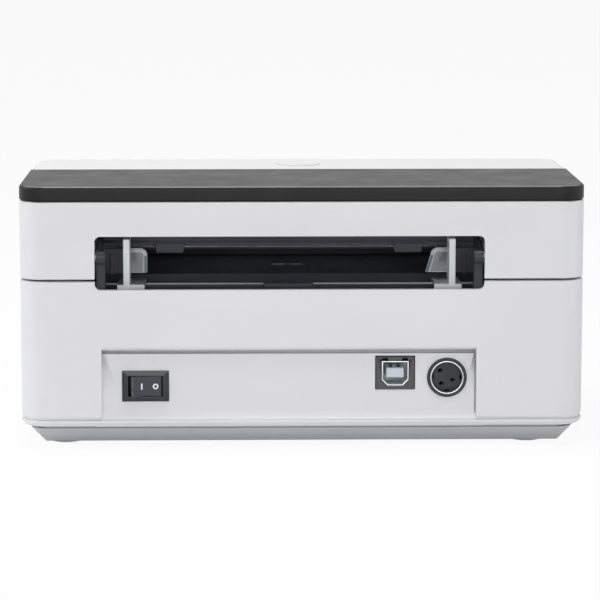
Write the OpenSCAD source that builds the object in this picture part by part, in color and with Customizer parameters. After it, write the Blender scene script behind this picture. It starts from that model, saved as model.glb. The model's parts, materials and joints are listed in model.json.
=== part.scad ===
// Thermal label printer, rear fed. Millimetres, feet on z = 0, label exit at -Y, sockets at +Y.

/* [Body] */
// Width of the housing
body_w = 180; // [178:1:186]
// Depth of the housing
body_d = 91; // [90:1:95]
// Height from the feet to the top of the lid
body_h = 84.1; // [83.5:0.2:87]
// Plan radius of the housing's corners
corner_r = 8; // [7:0.5:9]
// Wall thickness of the mouldings
wall = 2.2; // [2:0.1:2.4]
// Height of the line between base and lid
parting_z = 54.15; // [53.9:0.05:54.5]
// Gap between base and lid
parting_gap = 0.6; // [0.5:0.05:0.8]
// Thickness of the dark top panel
panel_t = 4.9; // [4:0.1:5.4]
// Length of the dark panel from the rear face
panel_len = 54.85; // [50:0.5:58]

/* [Rear face] */
// Centre of the label path across the printer
media_x = 4; // [3:0.5:5]
// Width of the rear label slot
slot_w = 123.8; // [122:0.2:126]
// Lower edge of the rear slot
slot_z0 = 51.05; // [50.9:0.05:51.3]
// Upper edge of the rear slot
slot_z1 = 68.2; // [67.9:0.1:68.9]
// Radius in the slot's corners
slot_r = 1.8; // [1:0.1:2]
// Depth of the socket recess
recess_depth = 2.5; // [2:0.1:2.6]
// Top of the socket recess
recess_top = 31.7; // [31.4:0.1:32.9]
// Height of the power switch's centre
switch_z = 19.85; // [19.4:0.1:20.4]

/* [Label guides] */
// Distance between the label guides
guide_gap = 102; // [98:1:104]
// Thickness of a guide plate
guide_t = 2.1; // [1.8:0.1:2.4]
// Top of the guide plates
guide_top = 66.6; // [64.9:0.1:66.9]
// Diameter of the guide pinion's pin
pinion_pin_d = 3; // [2.6:0.1:3.2]

/* [Drive] */
// Diameter of the platen roller
platen_d = 13; // [12:0.5:13]
// Diameter of the platen shaft
shaft_d = 6; // [5:0.5:6]
// Diameter of the stepper motor
motor_d = 35; // [33:0.5:35]
// Radial clearance of turning and sliding fits
run_fit = 0.05; // [0.03:0.01:0.08]

/* [Hinge] */
// Diameter of the lid's hinge pins
pin_d = 2.5; // [2:0.1:2.6]
// Height of the hinge axis above the lid's lower edge
hinge_rise = 7; // [7:0.1:7.6]

/* [Hidden] */
$fn = 64;
eps = 1;

xs = body_w / 2;
yr = body_d / 2;
yf = -yr;
mx = media_x;

// Heights of the base
foot_h = 1.1;
ledge_z = 6.65;
ledge_top = 8.9;
flange_t = 2.2;
flange_z = ledge_top + 0.8;
floor_top = foot_h + wall;
low_top = parting_z - parting_gap / 2;
lid_z = parting_z + parting_gap / 2;
plate_t = 2.4;
plate_z = low_top - plate_t;

// Label deck
slot_hw = slot_w / 2;
deck_top = slot_z0 - 0.8;
deck_t = 2.5;
deck_z = deck_top - deck_t;
ramp_top = deck_top + 2.75;
ramp_y = yr - 25;
frame_side = 4.1;
frame_hw = slot_hw + frame_side;
cheek_in = 4.5;
cheek_hw = frame_hw - cheek_in;
cheek_t = 2.5;
cheek_z0 = floor_top + 6.1;
cheek_z1 = deck_z - 18.8;
side_room = xs - mx - frame_hw;
rib_y = yr - 12;
rib_t = 1;
rib_top = deck_top + 1.55;

// Guides
guide_y0 = yr - 16.8;
guide_y1 = yr - 6.2;
foot_y0 = yr - 22.2;
foot_t = 1.7;
foot_out = 2;
foot_in = 4.7;
wing_w = 5.3;
wing_t = 1.8;
wing_bevel = 1.1;
wing_r = 2.4;
wing_z0 = deck_top + 4.35;
wing_z1 = guide_top - 4.1;
guide_mod = 0.6;
guide_teeth = 14;
pinion_r = guide_mod * guide_teeth / 2;
pinion_y = yr - 12.5;
rack_h = 4.2;
rack_z = deck_z - 0.1 - rack_h;
bar_t = 1.8;
bar_gap = 1.1 * guide_mod;
travel_out = 5.5;
travel_in = 30;
hook_w = 4;
hook_x = guide_gap / 2 + 0.2;

// Drive
platen_y = yf + 11.5;
platen_rise = 1.2;
platen_z = ramp_top + platen_rise - platen_d / 2;
platen_len = 2 * cheek_hw - 11;
gear_mod = 0.5;
gear_slack = 0.12;
platen_teeth = 28;
small_teeth = 18;
big_teeth = 50;
motor_teeth = 14;
add = 0.8;
ded = 1.1;
pa = 20;
ang_pi = -60;
ang_im = -35;
dist_pi = gear_mod * (platen_teeth + small_teeth) / 2;
dist_im = gear_mod * (big_teeth + motor_teeth) / 2;
idler_y = platen_y + dist_pi * cos(ang_pi);
idler_z = platen_z + dist_pi * sin(ang_pi);
motor_y = idler_y + dist_im * cos(ang_im);
motor_z = idler_z + dist_im * sin(ang_im);
cheek_x1 = mx + cheek_hw + cheek_t;
gear_a0 = cheek_x1 + 0.6;
gear_a1 = gear_a0 + 3;
gear_b1 = gear_a1 + 2.6;
gear_gap = 0.4;
axle_d = 3;
motor_shaft_d = 2;
motor_len = 22;
motor_x1 = mx + cheek_hw;
lug_r = 3.6;
lug_off = 20.8;
lug_ang = 40;
motor_flange_t = 1.2;

// Sockets
recess_y = yr - recess_depth;
recess_lip = 1.2;
recess_x0 = mx - 59.5;
recess_x1 = mx + 60;
board_top = 18.5;
board_t = 1.6;
board_x0 = -64;
board_x1 = 34;
board_y0 = yr - 40.5;
board_y1 = recess_y - wall - 0.4;
usb_x = -29.7;
usb_w = 12.2;
usb_h = 10.6;
usb_depth = 16;
usb_y = recess_y + 0.2;
din_x = -46.3;
din_z = 22.3;
din_d = 12.6;
din_ring_d = 10.7;
din_ring_t = 0.7;
switch_x = 50.1;
bezel_w = 15;
bezel_h = 10;
bezel_t = 1.3;
can_w = 13;
can_h = 8.6;
can_depth = 11;
rocker_w = 10.3;
rocker_h = 6.6;
rocker_tilt = 7;
rocker_y = recess_y - 1.2;

// Hinge
hinge_y = yr - 2.6;
hinge_z = lid_z + hinge_rise;
barrel_d = 4.8;
ear_out = slot_hw - 0.3;
ear_t = 3;
barrel_len = 7;

// Lid
panel_z = body_h - panel_t;
panel_y = yr - panel_len;
ceil_z = panel_z - wall;
strip_z = body_h - wall;
lid_frame_t = 1.9;
lid_frame_hw = slot_hw - 1.9;
ridge_y = yr - 20;
ridge_z = slot_z1 - 5.5;
tab_z = ridge_z - 2;
tab_w = 9;
tab_off = 38.5;
head_gap = 0.3;
head_z = platen_z + platen_d / 2 + head_gap;
head_t = 1.3;
sink_t = 4.2;
sink_z = head_z + head_t;
bracket_z = sink_z + sink_t;
bracket_t = 1.5;
head_hw = cheek_hw - 6.5;
sink_hw = head_hw - 1;
pivot_y = platen_y + 17;
pivot_z = bracket_z + 4.2;
pivot_d = 3;
pivot_top = pivot_z + pivot_d / 2;
lid_frame_z = pivot_top + 0.31 * (ceil_z - pivot_top);
liner_rib_h = 3.9;
spring_x = 42;
seat_edge = 0.4;
sensor_y = platen_y + 31;
sensor_hw = 5;
exit_h = 5;
exit_hw = head_hw + 2;

// Feed button
button_y = (yf + panel_y) / 2 + 0.425;
button_d = 14.5;
button_gap = 0.2;
button_top = body_h + 0.2;
button_flange_z = strip_z - 1.1;
button_stem = 4;
board2_t = 1.6;
board2_z = strip_z - 8.5;
board2_hw = 17;
board2_hd = 8.5;
key_h = 3.2;
key_gap = 1.3;
post_x = 13;

// Latches
latch_y = -5;
latch_w = 10;
latch_z0 = plate_z - 11.55;
latch_h = 7;
latch_face = xs - 0.2;
latch_len = 0.6 * side_room;
latch_arm = 3;
nose_z = lid_z + 5.45;
spring_wall = xs - 0.87 * side_room;

// Screws
screw_d = 3;
screw_head = 5.4;
boss_d = 7;
boss_top = 24.9;
case_len = 19;
case_x = xs - 10;
case_y = yr - 27;
case_pts = [[-case_x, -case_y], [case_x, -case_y], [-case_x, case_y], [case_x, case_y]];
foot_x = xs - 15.5;
foot_y = yr - 16;
foot_off = 1.7;
foot_d = 11;
foot_seat = 0.8;
// Fixing tabs of the label frame: [side, y]
tab_pts = [[1, yr - 11], [1, yr - 33.5], [-1, yr - 11], [-1, platen_y + 14.5]];
tab_hd = 4;
tab_pad_d = 6.4;
tab_pad_h = 7;
function tab_x(side) = mx + side * (frame_hw + 0.365 * (xs - wall - frame_hw - side * mx));

module box(x0, x1, y0, y1, z0, z1) {
  translate([x0, y0, z0]) cube([x1 - x0, y1 - y0, z1 - z0]);
}

module xcyl(x0, x1, y, z, d) {
  translate([x0, y, z]) rotate([0, 90, 0]) cylinder(h = x1 - x0, d = d);
}

module ycyl(y0, y1, x, z, d) {
  translate([x, y1, z]) rotate([90, 0, 0]) cylinder(h = y1 - y0, d = d);
}

module zcyl(x, y, z0, z1, d) {
  translate([x, y, z0]) cylinder(h = z1 - z0, d = d);
}

// Extrudes a shape drawn in (y, z) along X
module xprism(x0, x1) {
  translate([x0, 0, 0]) rotate([90, 0, 90]) linear_extrude(x1 - x0) children();
}

// Extrudes a shape drawn in (x, z) from y0 to y1
module yprism(y0, y1) {
  translate([0, y1, 0]) rotate([90, 0, 0]) linear_extrude(y1 - y0) children();
}

module media_pair() {
  children();
  translate([2 * mx, 0, 0]) mirror([1, 0, 0]) children();
}

module side_pair() {
  children();
  mirror([1, 0, 0]) children();
}

module rrect(w, d, r) {
  square([w - 2 * r, d], center = true);
  square([w, d - 2 * r], center = true);
  for (sx = [-1, 1], sy = [-1, 1]) translate([sx * (w / 2 - r), sy * (d / 2 - r)]) circle(r);
}

// A slab whose edge follows pts, a list of [inset, z] from bottom to top
module slab(pts) {
  z0 = pts[0][1];
  z1 = pts[len(pts) - 1][1];
  hx = xs - corner_r;
  hy = yr - corner_r;
  for (k = [0:3])
    translate([(k == 0 || k == 3 ? 1 : -1) * hx, (k < 2 ? 1 : -1) * hy, 0])
      rotate([0, 0, 90 * k]) rotate_extrude(angle = 90)
        polygon(concat([[0, z0]], [for (p = pts) [corner_r - p[0], p[1]]], [[0, z1]]));
  xprism(-hx, hx)
    polygon(concat([for (p = pts) [yr - p[0], p[1]]],
      [for (i = [len(pts) - 1:-1:0]) [-(yr - pts[i][0]), pts[i][1]]]));
  yprism(-hy, hy)
    polygon(concat([for (p = pts) [xs - p[0], p[1]]],
      [for (i = [len(pts) - 1:-1:0]) [-(xs - pts[i][0]), pts[i][1]]]));
}

module hollow(inset, z0, z1) {
  translate([0, 0, z0]) linear_extrude(z1 - z0)
    rrect(body_w - 2 * inset, body_d - 2 * inset, corner_r - inset);
}

function inv_deg(a) = tan(a) * 180 / PI - a;
function half_deg(r, rp, rb, t, slack) =
  90 / t - slack * 90 / PI / rp + inv_deg(pa) - inv_deg(acos(min(1, rb / max(r, rb))));
function gear_pts(m, t, slack) =
  let (rp = m * t / 2, rb = rp * cos(pa), rr = rp - ded * m, ra = rp + add * m)
  let (rs = [rr, max(rb, rr + 0.05), rp, (rp + ra) / 2, ra])
  [for (i = [0:t - 1], k = [0:9])
    let (j = k < 5 ? k : 9 - k, s = k < 5 ? -1 : 1)
    let (a = i * 360 / t + s * half_deg(rs[j], rp, rb, t, slack))
    [rs[j] * cos(a), rs[j] * sin(a)]];

module gear2d(m, t, turn) {
  rotate(turn) polygon(gear_pts(m, t, gear_slack));
}

// A coil standing on z = 0, drawn as a twisted part ring
module coil(d, wire, h, turns) {
  r1 = d / 2;
  r0 = r1 - wire;
  linear_extrude(height = h, twist = -360 * turns, slices = round(10 * turns), segments = 12)
    polygon(concat([for (a = [0:34:170]) [r1 * cos(a), r1 * sin(a)]],
      [for (a = [170:-34:0]) [r0 * cos(a), r0 * sin(a)]]));
}

// ---------------------------------------------------------------- base

module lower_housing() {
  lip = 0.3;
  rim_h = 1.8;
  rim_t = 1;
  win = 0.2;
  color([0.84, 0.84, 0.855]) difference() {
    union() {
      difference() {
        slab([[3, ledge_z], [1.7, ledge_z + 0.25], [0.7, ledge_z + 0.75], [0.15, ledge_z + 1.4],
          [0, ledge_z + 1.9], [0, ledge_top], [0.9, ledge_top + 0.1], [0.35, ledge_top + 0.7], [0, ledge_top + 1.6],
          [0, low_top - lip], [lip, low_top]]);
        hollow(wall, flange_z, plate_z);
        hollow(wall + flange_t, ledge_z - eps, flange_z + eps);
        // opening for the label frame
        box(mx - frame_hw - 0.3, mx + frame_hw + 0.3, yf + 4.2, yr - wall, plate_z - eps, low_top + eps);
        // room for the platen gear
        box(mx + frame_hw - 1, gear_b1 + 1, yf + wall, platen_y + 9, plate_z - eps, low_top + eps);
        // latch arms
        side_pair() box(xs - latch_len - 3.4, xs - latch_len + latch_arm + 1.6, latch_y - 4, latch_y + 4,
          plate_z - eps, low_top + eps);
      }
      // lip inside the parting line, on the front and the sides
      difference() {
        hollow(wall + lip, low_top - 0.1, low_top + rim_h);
        hollow(wall + lip + rim_t, low_top - 0.2, low_top + rim_h + eps);
        box(mx - exit_hw - 1, mx + exit_hw + 1, yf, 0, low_top - 0.2, low_top + rim_h + eps);
        box(-xs, xs, yr - 12, yr, low_top - 0.2, low_top + rim_h + eps);
      }
      // wall behind the recess
      difference() {
        box(recess_x0 - wall, recess_x1 + wall, recess_y - wall, yr - wall + 0.1, ledge_z, recess_top + wall);
        box(board_x0, recess_x1, recess_y - wall - eps, recess_y - wall, ledge_z, recess_top);
      }
      // case screw bosses
      for (p = case_pts) zcyl(p[0], p[1], ledge_z, boss_top, boss_d);
      for (p = case_pts) box(min(p[0], sign(p[0]) * (xs - 1)), max(p[0], sign(p[0]) * (xs - 1)),
        p[1] - 0.8, p[1] + 0.8, ledge_z + 4, boss_top);
      // latch slides: a shelf and a spring wall on each side
      side_pair() {
        box(spring_wall - 2, xs - 1, latch_y - latch_w / 2 - 2, latch_y + latch_w / 2 + 2,
          latch_z0 - 2.2, latch_z0 - run_fit);
        box(spring_wall - 2, spring_wall, latch_y - latch_w / 2 - 2, latch_y + latch_w / 2 + 2,
          latch_z0 - 2.2, plate_z);
        for (s = [-1, 1]) translate([0, latch_y + s * (latch_w / 2 + 1.1), 0])
          box(spring_wall - 2, xs - 1, -1, 1, latch_z0 - 2.2, latch_z0 + latch_h - 1);
      }
    }
    // socket recess with its hollow lower edge
    xprism(recess_x0, recess_x1) polygon([[yr + 1, recess_top + recess_lip], [yr, recess_top + recess_lip],
      [yr - 0.1, recess_top + 0.6 * recess_lip], [yr - 0.4 * recess_lip, recess_top + 0.25 * recess_lip],
      [yr - recess_lip, recess_top], [recess_y, recess_top],
      [recess_y, ledge_top + 2.8], [recess_y + 0.25, ledge_top + 1.7], [recess_y + 0.8, ledge_top + 0.8],
      [recess_y + 1.6, ledge_top + 0.25], [yr + 1, ledge_top + 0.05]]);
    // lower half of the label slot
    yprism(yr - wall - eps, yr + eps) union() {
      translate([mx - slot_hw + slot_r, slot_z0]) square([slot_w - 2 * slot_r, 20]);
      translate([mx - slot_hw, slot_z0 + slot_r]) square([slot_w, 20]);
      for (s = [-1, 1]) translate([mx + s * (slot_hw - slot_r), slot_z0 + slot_r]) circle(slot_r);
    }
    // sockets and switch
    box(usb_x - usb_w / 2 - 0.25, usb_x + usb_w / 2 + 0.25, recess_y - wall - eps, recess_y + eps,
      board_top - 0.01, board_top + usb_h + 0.25);
    ycyl(recess_y - wall - eps, recess_y + eps, din_x, din_z, din_d + 0.2);
    box(switch_x - can_w / 2 - 0.1, switch_x + can_w / 2 + 0.1, recess_y - wall - eps, recess_y + eps,
      switch_z - can_h / 2 - 0.1, switch_z + can_h / 2 + 0.1);
    // latch windows
    side_pair() box(xs - wall - eps, xs + eps, latch_y - latch_w / 2 - win, latch_y + latch_w / 2 + win,
      latch_z0 - run_fit, latch_z0 + latch_h + win);
    // screw pilots
    for (p = case_pts) zcyl(p[0], p[1], ledge_z - eps, boss_top - 2, screw_d);
    for (p = tab_pts) zcyl(tab_x(p[0]), p[1], plate_z - eps, low_top + eps, screw_d + 0.2);
    for (p = tab_pts) zcyl(tab_x(p[0]), p[1], low_top - 1.5, low_top + eps, screw_head + 0.2);
  }
}

module bottom_cover() {
  vent_pitch = 6;
  vent_w = 2.4;
  vent_len = 24;
  rim_in = wall + flange_t + 0.15;
  color([0.61, 0.625, 0.64]) difference() {
    union() {
      slab([[7.8, foot_h], [7.4, foot_h + 0.2], [3.05, ledge_z - 0.75], [3.05, ledge_z - 0.5],
        [3.9, ledge_z - 0.5], [3.9, ledge_z]]);
      difference() {
        hollow(rim_in, ledge_z - 0.5, ledge_z + 2);
        hollow(rim_in + 1.2, ledge_z - eps, ledge_z + 2 + eps);
        box(recess_x0 - wall - 1, recess_x1 + wall + 1, recess_y - wall - 0.4, yr, ledge_z, ledge_z + 3);
        for (p = case_pts) zcyl(p[0], p[1], ledge_z, ledge_z + 3, boss_d + 0.6);
      }
    }
    difference() {
      union() {
        hollow(rim_in + 2.9, floor_top, ledge_z);
        hollow(rim_in + 1.25, floor_top + 1.2, ledge_z + eps);
      }
      // screw wells and board posts stay
      for (p = case_pts) zcyl(p[0], p[1], floor_top - eps, ledge_z, boss_d + 2);
      for (sx = [-1, 1], sy = [-1, 1])
        zcyl(foot_off + sx * foot_x, sy * foot_y, floor_top - eps, floor_top + 1.2, foot_d + 3);
    }
    // screw holes and head wells
    for (p = case_pts) zcyl(p[0], p[1], foot_h - eps, ledge_z + eps, screw_d + 0.2);
    for (p = case_pts) zcyl(p[0], p[1], foot_h - eps, foot_h + 2.6, screw_head + 0.4);
    // feet recesses
    for (sx = [-1, 1], sy = [-1, 1])
      zcyl(foot_off + sx * foot_x, sy * foot_y, foot_h - eps, foot_h + foot_seat, foot_d + 0.1);
    // vents
    for (i = [-4:4]) translate([i * vent_pitch - 10, -10, 0])
      box(-vent_w / 2, vent_w / 2, -vent_len / 2, vent_len / 2, foot_h - eps, floor_top + eps);
  }
  color([0.61, 0.625, 0.64]) for (p = board_pts()) difference() {
    zcyl(p[0], p[1], floor_top, board_top - board_t, 5.6);
    zcyl(p[0], p[1], floor_top + 3, board_top - board_t + eps, 2.2);
  }
}

function board_pts() = [[board_x0 + 4, board_y0 + 4], [board_x1 - 4, board_y0 + 4],
  [board_x0 + 4, board_y1 - 4], [board_x1 - 4, board_y1 - 4]];

module rubber_feet() {
  r = foot_d / 2;
  color([0.75, 0.75, 0.76]) for (sx = [-1, 1], sy = [-1, 1])
    translate([foot_off + sx * foot_x, sy * foot_y, 0]) rotate_extrude()
      polygon([[0, 0], [r - 0.5, 0], [r - 0.2, 0.1], [r - 0.05, 0.3], [r, 0.6], [r, foot_h + foot_seat],
        [0, foot_h + foot_seat]]);
}

module screw_up(x, y, z0, len, d, head, head_t) {
  difference() {
    union() {
      zcyl(x, y, z0, z0 + head_t, head);
      zcyl(x, y, z0 + head_t, z0 + len, d);
    }
    for (a = [0, 90]) translate([x, y, z0]) rotate([0, 0, a]) box(-1.3, 1.3, -0.35, 0.35, -eps, 0.9);
  }
}

module screw_down(x, y, z1, len, d, head, head_t) {
  difference() {
    union() {
      zcyl(x, y, z1 - head_t, z1, head);
      zcyl(x, y, z1 - len, z1 - head_t, d);
    }
    for (a = [0, 90]) translate([x, y, z1]) rotate([0, 0, a]) box(-1.3, 1.3, -0.35, 0.35, -0.9, eps);
  }
}

module case_screws() {
  color([0.6, 0.6, 0.62]) for (p = case_pts)
    screw_up(p[0], p[1], foot_h + 0.6, case_len, screw_d - 0.05, screw_head, 2);
}

module media_frame() {
  bay_t = 1.2;
  bay_top = ridge_z + 3;
  slide_w = 0.2;
  color([0.17, 0.17, 0.185]) difference() {
    union() {
      // rear deck and raised front deck
      box(mx - frame_hw, mx + frame_hw, ramp_y - 1, yr - wall - 0.1, deck_z, deck_top);
      difference() {
        xprism(mx - frame_hw, mx + frame_hw) polygon([[yf + 4.4, deck_z], [ramp_y + 2, deck_z],
          [ramp_y + 2, deck_top - 0.4], [ramp_y, ramp_top], [yf + 4.4, ramp_top]]);
        // hollow underside of the raised deck
        box(mx - frame_hw + 2, mx + frame_hw - 2, platen_y + platen_d / 2 + 3, ramp_y - 2,
          deck_z - eps, ramp_top - 2);
        // platen bay
        box(mx - cheek_hw, mx + cheek_hw, platen_y - platen_d / 2 - 0.5,
          platen_y + platen_d / 2 + 0.5, deck_z - eps, ramp_top + eps);
      }
      // ribs under the raised deck
      for (x = [-44, -16, 16, 44])
        box(mx + x - 0.8, mx + x + 0.8, platen_y + platen_d / 2 + 2, ramp_y - 1, deck_z, ramp_top - 1);
      // cheeks
      xprism(mx + cheek_hw, cheek_x1) polygon([[yf + 4.4, ramp_top - 0.1], [yf + 4.4, cheek_z1], [yf + 9, cheek_z0],
        [8, cheek_z0], [ramp_y - 0.5, deck_z + 1], [ramp_y - 0.5, ramp_top - 0.1]]);
      xprism(mx - cheek_hw - cheek_t, mx - cheek_hw) polygon([[yf + 4.4, ramp_top - 0.1], [yf + 4.4, platen_z - 9],
        [platen_y + 8, platen_z - 9], [ramp_y - 4, deck_z + 1], [ramp_y - 0.5, ramp_top - 0.1]]);
      // raised guide ribs and centre block
      box(mx + 8.3, mx + slot_hw - 1, rib_y - rib_t / 2, rib_y + rib_t / 2, deck_top - 0.5, rib_top);
      box(mx - slot_hw + 1, mx - 7.6, rib_y - rib_t / 2, rib_y + rib_t / 2, deck_top - 0.5, rib_top);
      box(mx - 7.6, mx + 8.3, rib_y - 3, rib_y + 2, deck_top - 0.5, rib_top);
      // pin of the guide pinion
      zcyl(mx, pinion_y, rack_z, deck_z + 0.5, pinion_pin_d);
      // hinge ears
      media_pair() {
        xcyl(mx + ear_out - ear_t, mx + ear_out, hinge_y, hinge_z, barrel_d);
        // end wall of the label bay
        xprism(mx + ear_out - bay_t, mx + ear_out) polygon([[ridge_y - 10, deck_z],
          [yr - 6, deck_z], [hinge_y, hinge_z], [yr - 7, bay_top], [ridge_y - 6, bay_top],
          [ridge_y - 10, bay_top - 4]]);
        xprism(mx + ear_out - ear_t, mx + ear_out) polygon([[guide_y1 + 0.6, deck_z],
          [yr - wall - 0.2, deck_z], [yr - wall - 0.2, hinge_z - 3], [hinge_y + 1.2, hinge_z],
          [hinge_y - barrel_d / 2, hinge_z], [guide_y1 + 0.6, hinge_z - 5]]);
      }
      // fixing tabs under the housing's top plate
      for (p = tab_pts) {
        inner = mx + p[0] * (frame_hw - 2);
        outer = tab_x(p[0]) + p[0] * 3.5;
        box(min(inner, outer), max(inner, outer), p[1] - tab_hd, p[1] + tab_hd, plate_z - 2.4, plate_z);
        zcyl(tab_x(p[0]), p[1], plate_z - tab_pad_h, plate_z, tab_pad_d);
      }
    }
    // ends cut back beside the gears and the shaft's far end
    box(cheek_x1, mx + frame_hw + eps, yf, platen_y + 20, deck_z - eps, ramp_top + eps);
    box(mx - frame_hw - eps, mx - cheek_hw - cheek_t, yf, platen_y + 7, deck_z - eps, ramp_top + eps);
    // slots for the guides' hooks
    box(mx + hook_x - travel_in - slide_w, mx + hook_x + hook_w + travel_out + slide_w,
      pinion_y + pinion_r + bar_gap - slide_w, pinion_y + pinion_r + bar_gap + bar_t + slide_w,
      deck_z - eps, deck_top + eps);
    box(mx - hook_x - hook_w - travel_out - slide_w, mx - hook_x + travel_in + slide_w,
      pinion_y - pinion_r - bar_gap - bar_t - slide_w, pinion_y - pinion_r - bar_gap + slide_w,
      deck_z - eps, deck_top + eps);
    // pinion screw
    zcyl(mx, pinion_y, rack_z - eps, deck_top - 0.6, 1.6);
    // hinge pins
    media_pair() xcyl(mx + ear_out - ear_t - eps, mx + ear_out + eps, hinge_y, hinge_z, pin_d);
    // bushings
    media_pair() xcyl(mx + cheek_hw - eps, cheek_x1 + eps, platen_y, platen_z, shaft_d + 3);
    // motor boss and screws, idler axle
    xcyl(mx + cheek_hw - eps, cheek_x1 + eps, motor_y, motor_z, 9);
    for (s = [-1, 1]) xcyl(mx + cheek_hw - eps, cheek_x1 + eps, motor_y + s * lug_off * cos(lug_ang),
      motor_z + s * lug_off * sin(lug_ang), 2.6);
    xcyl(mx + cheek_hw - eps, cheek_x1 + eps, idler_y, idler_z, axle_d);
    // gap sensor window
    box(mx - sensor_hw - 0.1, mx + sensor_hw + 0.1, sensor_y - 3.1, sensor_y + 3.1, ramp_top - 2 - eps,
      ramp_top + eps);
    for (p = tab_pts) zcyl(tab_x(p[0]), p[1], plate_z - tab_pad_h - eps, plate_z + eps, screw_d - 0.6);
  }
}

module frame_screws() {
  color([0.6, 0.6, 0.62]) for (p = tab_pts)
    screw_down(tab_x(p[0]), p[1], low_top - 0.1, 7.5, screw_d - 0.65, screw_head, 1.4);
}

module rack2d(n, dir) {
  pitch = PI * guide_mod;
  h0 = bar_gap;
  ra = add * guide_mod;
  tip = pitch / 4 - ra * tan(pa) - gear_slack / 2;
  root = pitch / 4 + h0 * tan(pa) - gear_slack / 2;
  for (i = [-n:n]) translate([i * pitch, 0]) polygon([[-root, dir * (h0 + 0.1)], [-root, dir * h0],
    [-tip, -dir * ra], [tip, -dir * ra], [root, dir * h0], [root, dir * (h0 + 0.1)]]);
}

// The wing's free edge, drawn as [distance from the edge's centre, depth]
module wing_edge() {
  polygon([[0, 0], [wing_r, 0], [wing_r, wing_t - wing_bevel], [wing_r - wing_bevel, wing_t], [0, wing_t]]);
}

// Wing across the label path, with a bevelled and rounded free corner
module wing(x1) {
  x0 = x1 - wing_w;
  cx = x0 + wing_r;
  cz = wing_z1 - wing_r;
  box(cx, x1 + 0.1, guide_y0, guide_y0 + wing_t, wing_z0, cz);
  translate([cx, guide_y0, cz]) rotate([-90, 0, 0]) rotate([0, 0, 180]) rotate_extrude(angle = 90)
    wing_edge();
  translate([cx, guide_y0, cz]) rotate([90, 0, 90]) linear_extrude(x1 + 0.1 - cx) mirror([1, -1])
    wing_edge();
  translate([cx, guide_y0, wing_z0]) linear_extrude(cz - wing_z0) mirror([1, 0]) wing_edge();
}

// Drawn for the left guide: plate outside x = guide_gap / 2, rack towards the centre
module guide(side) {
  gx = guide_gap / 2;
  y_rack = side * pinion_r;
  y0 = side > 0 ? pinion_y + pinion_r + bar_gap : pinion_y - pinion_r - bar_gap - bar_t;
  bar_x0 = -travel_out - 4 * PI * guide_mod;
  foot_z = deck_top + run_fit;
  difference() {
    union() {
      // plate
      box(gx, gx + guide_t, guide_y0, guide_y1, foot_z, guide_top);
      // foot
      box(gx - foot_in, gx + guide_t + foot_out, foot_y0, guide_y1, foot_z, foot_z + foot_t);
      wing(gx);
      // hook and rack under the deck
      box(hook_x, hook_x + hook_w, y0, y0 + bar_t, rack_z, foot_z + 0.5);
      box(bar_x0, hook_x + hook_w, y0, y0 + bar_t, rack_z, rack_z + rack_h);
      translate([0, pinion_y + y_rack, rack_z]) linear_extrude(rack_h)
        intersection() {
          rack2d(24, side);
          translate([bar_x0 + 0.3, -3]) square([travel_in + travel_out + 20, 6]);
        }
    }
    // groove over the deck's rib
    box(gx - foot_in - eps, gx + guide_t + foot_out + eps, rib_y - rib_t / 2 - 0.15, rib_y + rib_t / 2 + 0.15,
      foot_z - eps, rib_top + 0.1);
  }
}

module left_guide() {
  color([0.6, 0.63, 0.64]) translate([mx, 0, 0]) guide(1);
}

module right_guide() {
  color([0.6, 0.63, 0.64]) translate([mx, 0, 0]) mirror([1, 0, 0]) guide(-1);
}

module guide_pinion() {
  color([0.9, 0.9, 0.88]) translate([mx, pinion_y, rack_z + 0.1]) difference() {
    linear_extrude(rack_h - 0.2) gear2d(guide_mod, guide_teeth, 0);
    zcyl(0, 0, -eps, rack_h + eps, pinion_pin_d + 2 * run_fit);
  }
}

module pinion_screw() {
  color([0.6, 0.6, 0.62]) screw_up(mx, pinion_y, rack_z - 1.6, 7, 1.55, 6.4, 1.6);
}

module platen_shaft() {
  color([0.7, 0.71, 0.72]) difference() {
    xcyl(mx - cheek_hw - cheek_t - 2, gear_a1 - gear_gap, platen_y, platen_z, shaft_d);
    box(gear_a0 - 0.2, gear_a1 + 2, platen_y - 4, platen_y + 4, platen_z + shaft_d / 2 - 0.7, platen_z + 5);
  }
}

module platen_roller() {
  color([0.1, 0.1, 0.1]) difference() {
    xcyl(mx - platen_len / 2, mx + platen_len / 2, platen_y, platen_z, platen_d);
    xcyl(mx - platen_len, mx + platen_len, platen_y, platen_z, shaft_d);
  }
}

module platen_bushings() {
  color([0.92, 0.92, 0.9]) media_pair() difference() {
    union() {
      xcyl(mx + cheek_hw - 1.5, cheek_x1, platen_y, platen_z, shaft_d + 2.9);
      xcyl(mx + cheek_hw - 1.5, mx + cheek_hw, platen_y, platen_z, shaft_d + 5);
    }
    xcyl(mx, cheek_x1 + eps, platen_y, platen_z, shaft_d + 2 * run_fit);
  }
}

module platen_gear() {
  color([0.93, 0.93, 0.9]) difference() {
    xprism(gear_a0, gear_a1 - gear_gap) translate([platen_y, platen_z])
      gear2d(gear_mod, platen_teeth, ang_pi);
    intersection() {
      xcyl(gear_a0 - eps, gear_b1 + eps, platen_y, platen_z, shaft_d);
      box(gear_a0 - eps, gear_b1 + eps, platen_y - 4, platen_y + 4, platen_z - 5,
        platen_z + shaft_d / 2 - 0.7);
    }
  }
}

module idler_gear() {
  color([0.93, 0.93, 0.9]) difference() {
    union() {
      xprism(gear_a1, gear_b1) translate([idler_y, idler_z]) gear2d(gear_mod, big_teeth, ang_im);
      xprism(gear_a0, gear_a1 + 0.1) translate([idler_y, idler_z])
        gear2d(gear_mod, small_teeth, ang_pi + 180 + 180 / small_teeth);
    }
    xcyl(gear_a0 - eps, gear_b1 + eps, idler_y, idler_z, axle_d + 2 * run_fit);
    // lightening ring
    xprism(gear_b1 - 1, gear_b1 + eps) translate([idler_y, idler_z]) difference() {
      circle(d = 20);
      circle(d = 8);
    }
  }
}

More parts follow.
